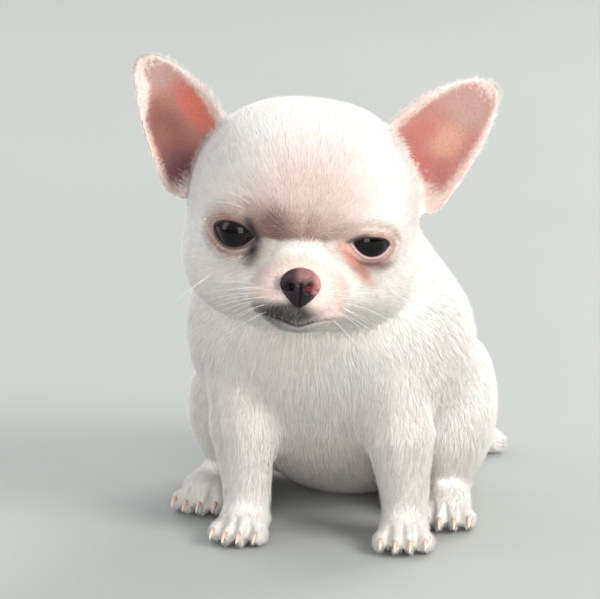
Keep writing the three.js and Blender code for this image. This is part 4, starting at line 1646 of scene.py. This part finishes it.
WHISKER_WHITE = colour(250, 246, 240)
WHISKER_RINGS = 9
WHISKER_AROUND = 5
WHISKER_RADIUS = 0.05
WHISKER_TIP = 0.01
WHISKER_SAG = 0.2  # of its length
WHISKER_ROOT = 0.4  # how far it starts below the skin
WHISKER_STRAY = 0.08


def whisker_starts(draw):
    """Where each long hair grows, which way it points and how long it is: four rows on each
    side's lip, one over each eye, two hairs on each cheek and a few under the chin."""
    for side in SIDES:
        for row in range(4):
            for column in range(3):
                at = (7.6 + 2.2 * column, -38 + 1.6 * column, -10.4 - 1.8 * row + 0.3 * column)
                way = (0.9 + 0.1 * column, 0.05 + 0.25 * column, 0.12 - 0.22 * row)
                yield mirrored(at, side), mirrored(way, side), draw.uniform(9, 17)
        for number in range(4):
            at = (12 + 2.2 * number, -31, 8 + 1.5 * (number % 2))
            way = (0.35 + 0.3 * number, -0.12, 0.75 - 0.17 * number)
            yield mirrored(at, side), mirrored(way, side), draw.uniform(6, 10)
        for number in range(2):
            at = (23.0 + number, -24.0, -11.0 - 1.5 * number)
            yield mirrored(at, side), mirrored((0.8, -0.2, -0.35), side), draw.uniform(9, 12)
    for number in range(5):
        at = np.array([-4.0 + 2 * number, -31, -24])
        yield at, np.array([-0.3 + 0.15 * number, -0.35, -0.8]), draw.uniform(5, 8)


def build_whiskers(skin, material):
    """Long fine hairs on the lips, over the eyes, on the cheeks and under the chin."""
    draw = np.random.default_rng(SEED + 1)
    tree = BVHTree.FromPolygons(skin["points"].tolist(), skin["triangles"].tolist())
    share = (np.arange(WHISKER_RINGS) / (WHISKER_RINGS - 1))[:, None]
    radii = (WHISKER_RADIUS * (1 - share) + WHISKER_TIP).ravel()
    starts = list(whisker_starts(draw))  # all the lengths are drawn before the first hair's stray
    tubes = []
    for at, way, length in starts:
        hit, normal, _, _ = tree.find_nearest(from_head(at[None])[0].tolist())
        base = np.array(hit) - np.array(normal) * WHISKER_ROOT
        direction = unit(way @ HEAD_AXES.T + draw.normal(size=3) * WHISKER_STRAY)
        side_way = unit(np.cross(direction, UP))
        centres = base + direction * length * share - UP * length * WHISKER_SAG * share ** 2
        tubes.append(tube(centres, radii, side_way, np.cross(side_way, direction), WHISKER_AROUND))
    points, faces = joined(tubes)
    mesh = mesh_of("whiskers", points, faces)
    tint(mesh, np.tile(WHISKER_WHITE, (len(points), 1)))
    placed("whiskers", mesh, material)


# Materials
GRAIN_DETAIL = 4.0
NOISE_LOW = 0.3  # the noise mostly stays between these two
NOISE_HIGH = 0.7
NOSE_CELLS = 1300


def noise_over(tree, scale, detail):
    """A noise over the object's own coordinates."""
    coordinates = tree.nodes.new("ShaderNodeTexCoord")
    noise = tree.nodes.new("ShaderNodeTexNoise")
    noise.inputs["Scale"].default_value = scale
    noise.inputs["Detail"].default_value = detail
    tree.links.new(coordinates.outputs["Object"], noise.inputs["Vector"])
    return noise


def bumped(material, height, distance, strength):
    tree = material.node_tree
    bump = tree.nodes.new("ShaderNodeBump")
    bump.inputs["Distance"].default_value = distance
    bump.inputs["Strength"].default_value = strength
    tree.links.new(height, bump.inputs["Height"])
    tree.links.new(bump.outputs["Normal"], tree.nodes["Principled BSDF"].inputs["Normal"])


def grained(name, grain, darkest, lightest, bump=None, **settings):
    """A material of the mesh's own tint times a fine noise. Its bump, where it has one, is that
    noise with a distance and a strength, and the settings are constants on the shader."""
    material = bpy.data.materials.new(name)
    material.use_nodes = True
    tree = material.node_tree
    shader = tree.nodes["Principled BSDF"]
    for label, value in settings.items():
        shader.inputs[label.replace("_", " ")].default_value = value
    tint_node = tree.nodes.new("ShaderNodeAttribute")
    tint_node.attribute_name = "Tint"
    noise = noise_over(tree, grain, GRAIN_DETAIL)
    span = tree.nodes.new("ShaderNodeMapRange")
    span.inputs["From Min"].default_value = NOISE_LOW
    span.inputs["From Max"].default_value = NOISE_HIGH
    span.inputs["To Min"].default_value = darkest
    span.inputs["To Max"].default_value = lightest
    tree.links.new(noise.outputs["Fac"], span.inputs["Value"])
    mixed = tree.nodes.new("ShaderNodeVectorMath")
    mixed.operation = "SCALE"
    tree.links.new(tint_node.outputs["Color"], mixed.inputs[0])
    tree.links.new(span.outputs["Result"], mixed.inputs["Scale"])
    tree.links.new(mixed.outputs["Vector"], shader.inputs["Base Color"])
    if bump:
        bumped(material, noise.outputs["Fac"], *bump)
    return material


def skin_material():
    sheen = {"Sheen_Weight": 0.25, "Sheen_Roughness": 0.5}
    return grained("short_fur_skin", 1400, 0.9, 1.04, bump=(0.0003, 0.6), Roughness=0.85, **sheen)


def coat_material():
    sheen = {"Sheen_Weight": 0.2, "Sheen_Roughness": 0.4}
    return grained("coat_tufts", 300, 0.95, 1.03, Roughness=0.7, **sheen)


def lid_material():
    return grained("moist_lids", 1800, 0.85, 1.1, bump=(0.0001, 0.5), Roughness=0.5)


def eye_material():
    return grained("wet_eye", 1500, 0.8, 1.2, Roughness=0.06, IOR=1.336)


def nose_material():
    """Leather with a pebbled bump."""
    material = grained("nose_leather", 900, 0.85, 1.15, Roughness=0.42, IOR=1.35)
    tree = material.node_tree
    cells = tree.nodes.new("ShaderNodeTexVoronoi")
    cells.inputs["Scale"].default_value = NOSE_CELLS
    coordinates = tree.nodes.new("ShaderNodeTexCoord")
    tree.links.new(coordinates.outputs["Object"], cells.inputs["Vector"])
    bumped(material, cells.outputs["Distance"], 0.00012, 0.9)
    return material


def claw_material():
    return grained("claw_horn", 900, 0.9, 1.06, bump=(0.0001, 0.3), Roughness=0.35)


def whisker_material():
    return grained("whisker", 800, 0.95, 1.05, Roughness=0.4)


# The unwrap of the skin's own shape
UNWRAP_ANGLE = 66  # degrees between two faces of one island, at most
UNWRAP_MARGIN = 0.001


def unwrap(piece):
    layer = piece.data.uv_layers.new(name="OFBake")
    piece.data.uv_layers.active = layer
    bpy.context.view_layer.objects.active = piece
    piece.select_set(True)
    bpy.ops.object.mode_set(mode="EDIT")
    bpy.ops.mesh.select_all(action="SELECT")
    bpy.ops.uv.smart_project(angle_limit=math.radians(UNWRAP_ANGLE), island_margin=UNWRAP_MARGIN)
    bpy.ops.object.mode_set(mode="OBJECT")
    piece.select_set(False)


# The stage
FLOOR_FLAT = 2600.0
FLOOR_EDGE = 5200.0
FLOOR_RISE = 900.0
FLOOR_RINGS = 40
FLOOR_SECTORS = 96
FLOOR_ROUGHNESS = 0.8
FLOOR_GRAIN = 6
FLOOR_DETAIL = 2.0
FLOOR_DARKER = (0.36, 0.375, 0.36, 1)
FLOOR_LIGHTER = (0.39, 0.405, 0.39, 1)


def floor_mesh():
    """A wide round floor that curves up far behind the puppy on every side."""
    radius = np.linspace(0, 1, FLOOR_RINGS + 1)[1:] * FLOOR_EDGE
    height = FLOOR_RISE * np.clip((radius - FLOOR_FLAT) / (FLOOR_EDGE - FLOOR_FLAT), 0, 1) ** 2
    angle = np.arange(FLOOR_SECTORS) * 2 * math.pi / FLOOR_SECTORS
    ring = np.stack([np.cos(angle), np.sin(angle), np.zeros(FLOOR_SECTORS)], 1)
    rings = [ring * r + np.array([0, 0, h]) for r, h in zip(radius, height)]
    points = np.vstack([np.zeros((1, 3)), *rings])
    sector = np.arange(FLOOR_SECTORS)
    following = (sector + 1) % FLOOR_SECTORS
    faces = [np.stack([np.zeros_like(sector), 1 + sector, 1 + following], 1)]
    for number in range(FLOOR_RINGS - 1):
        inner, outer = 1 + number * FLOOR_SECTORS, 1 + (number + 1) * FLOOR_SECTORS
        faces.append(np.stack([inner + sector, outer + sector, outer + following], 1))
        faces.append(np.stack([inner + sector, outer + following, inner + following], 1))
    return mesh_of("floor", points, np.vstack(faces))


def floor_material():
    material = bpy.data.materials.new("plain_floor")
    material.use_nodes = True
    tree = material.node_tree
    shader = tree.nodes["Principled BSDF"]
    shader.inputs["Roughness"].default_value = FLOOR_ROUGHNESS
    noise = noise_over(tree, FLOOR_GRAIN, FLOOR_DETAIL)
    ramp = tree.nodes.new("ShaderNodeValToRGB")
    ramp.color_ramp.elements[0].color = FLOOR_DARKER
    ramp.color_ramp.elements[1].color = FLOOR_LIGHTER
    tree.links.new(noise.outputs["Fac"], ramp.inputs["Fac"])
    tree.links.new(ramp.outputs["Color"], shader.inputs["Base Color"])
    return material


def build_floor():
    floor = linked("floor", floor_mesh())
    floor.data.materials.append(floor_material())


def aimed(thing, at, target):
    """Places a light or camera and turns it to look at the target, both in millimetres."""
    at, target = np.array(at, float), np.array(target, float)
    back = unit(at - target)
    right = unit(np.cross(np.array([0, 0, 1.0]), back))
    up = np.cross(back, right)
    matrix = Matrix.Identity(4)
    for row in range(3):
        matrix[row][0], matrix[row][1], matrix[row][2] = right[row], up[row], back[row]
        matrix[row][3] = at[row] * MM
    thing.matrix_world = matrix


# Each light: its place, its size, its power in watts and its colour
LIGHTS = {
    "key": ((1050, -480, 800), 600, 17, (1.0, 0.98, 0.95)),
    "rim": ((450, 900, 800), 700, 10, (1.0, 0.98, 0.95)),
    "back": ((-800, 700, 600), 700, 4, (0.97, 0.98, 1.0)),
    "fill": ((-1000, -300, 500), 700, 3.5, (0.93, 0.96, 1.0)),
    "front": ((300, -1150, 350), 600, 5, (1.0, 0.98, 0.96)),
}
LIT_PLACE = (0, -10, 60)
WORLD_COLOUR = (0.97, 0.98, 1.0, 1)
WORLD_STRENGTH = 0.58


def build_lights():
    for name, (at, size, power, shade) in LIGHTS.items():
        data = bpy.data.lights.new(name, "AREA")
        data.shape = "SQUARE"
        data.size = size * MM
        data.energy = power
        data.color = shade
        aimed(linked(name, data), at, LIT_PLACE)
    world = bpy.data.worlds.new("studio")
    bpy.context.scene.world = world
    world.use_nodes = True
    background = world.node_tree.nodes["Background"]
    background.inputs["Color"].default_value = WORLD_COLOUR
    background.inputs["Strength"].default_value = WORLD_STRENGTH


def build_camera():
    bpy.context.scene.view_settings.view_transform = "Standard"
    azimuth = math.radians(CAMERA_AZIMUTH)
    elevation = math.radians(CAMERA_ELEVATION)
    away = np.array([
        math.cos(elevation) * math.sin(azimuth),
        -math.cos(elevation) * math.cos(azimuth),
        math.sin(elevation),
    ])
    data = bpy.data.cameras.new("camera")
    data.sensor_fit = "HORIZONTAL"
    data.sensor_width = SENSOR
    data.lens = SENSOR * CAMERA_DISTANCE / VIEW_WIDTH
    data.clip_end = VIEW_DEPTH
    camera = linked("camera", data)
    target = HEAD_AT + np.array(CAMERA_AIM)
    aimed(camera, target + away * CAMERA_DISTANCE, target)
    bpy.context.scene.camera = camera


def main():
    build_camera()
    build_lights()
    build_floor()
    skin = build_skin()
    piece = placed("skin", skin["mesh"], skin_material())
    tint(skin["mesh"], coat_colours(skin["points"], skin["weights"], skin["normals"]))
    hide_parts(*(name for group in FLESH.values() for name in group))
    unwrap(piece)
    skin["mesh"].calc_loop_triangles()
    build_coat(skin, coat_material())
    lids = lid_material()
    eyes = eye_material()
    for side in SIDES:
        build_eye(side, eyes)
        build_lids(side, lids)
    build_nose(nose_material())
    horn = claw_material()
    for foot, turn in FEET.items():
        build_claws(foot, turn, horn)
    build_whiskers(skin, whisker_material())


main()
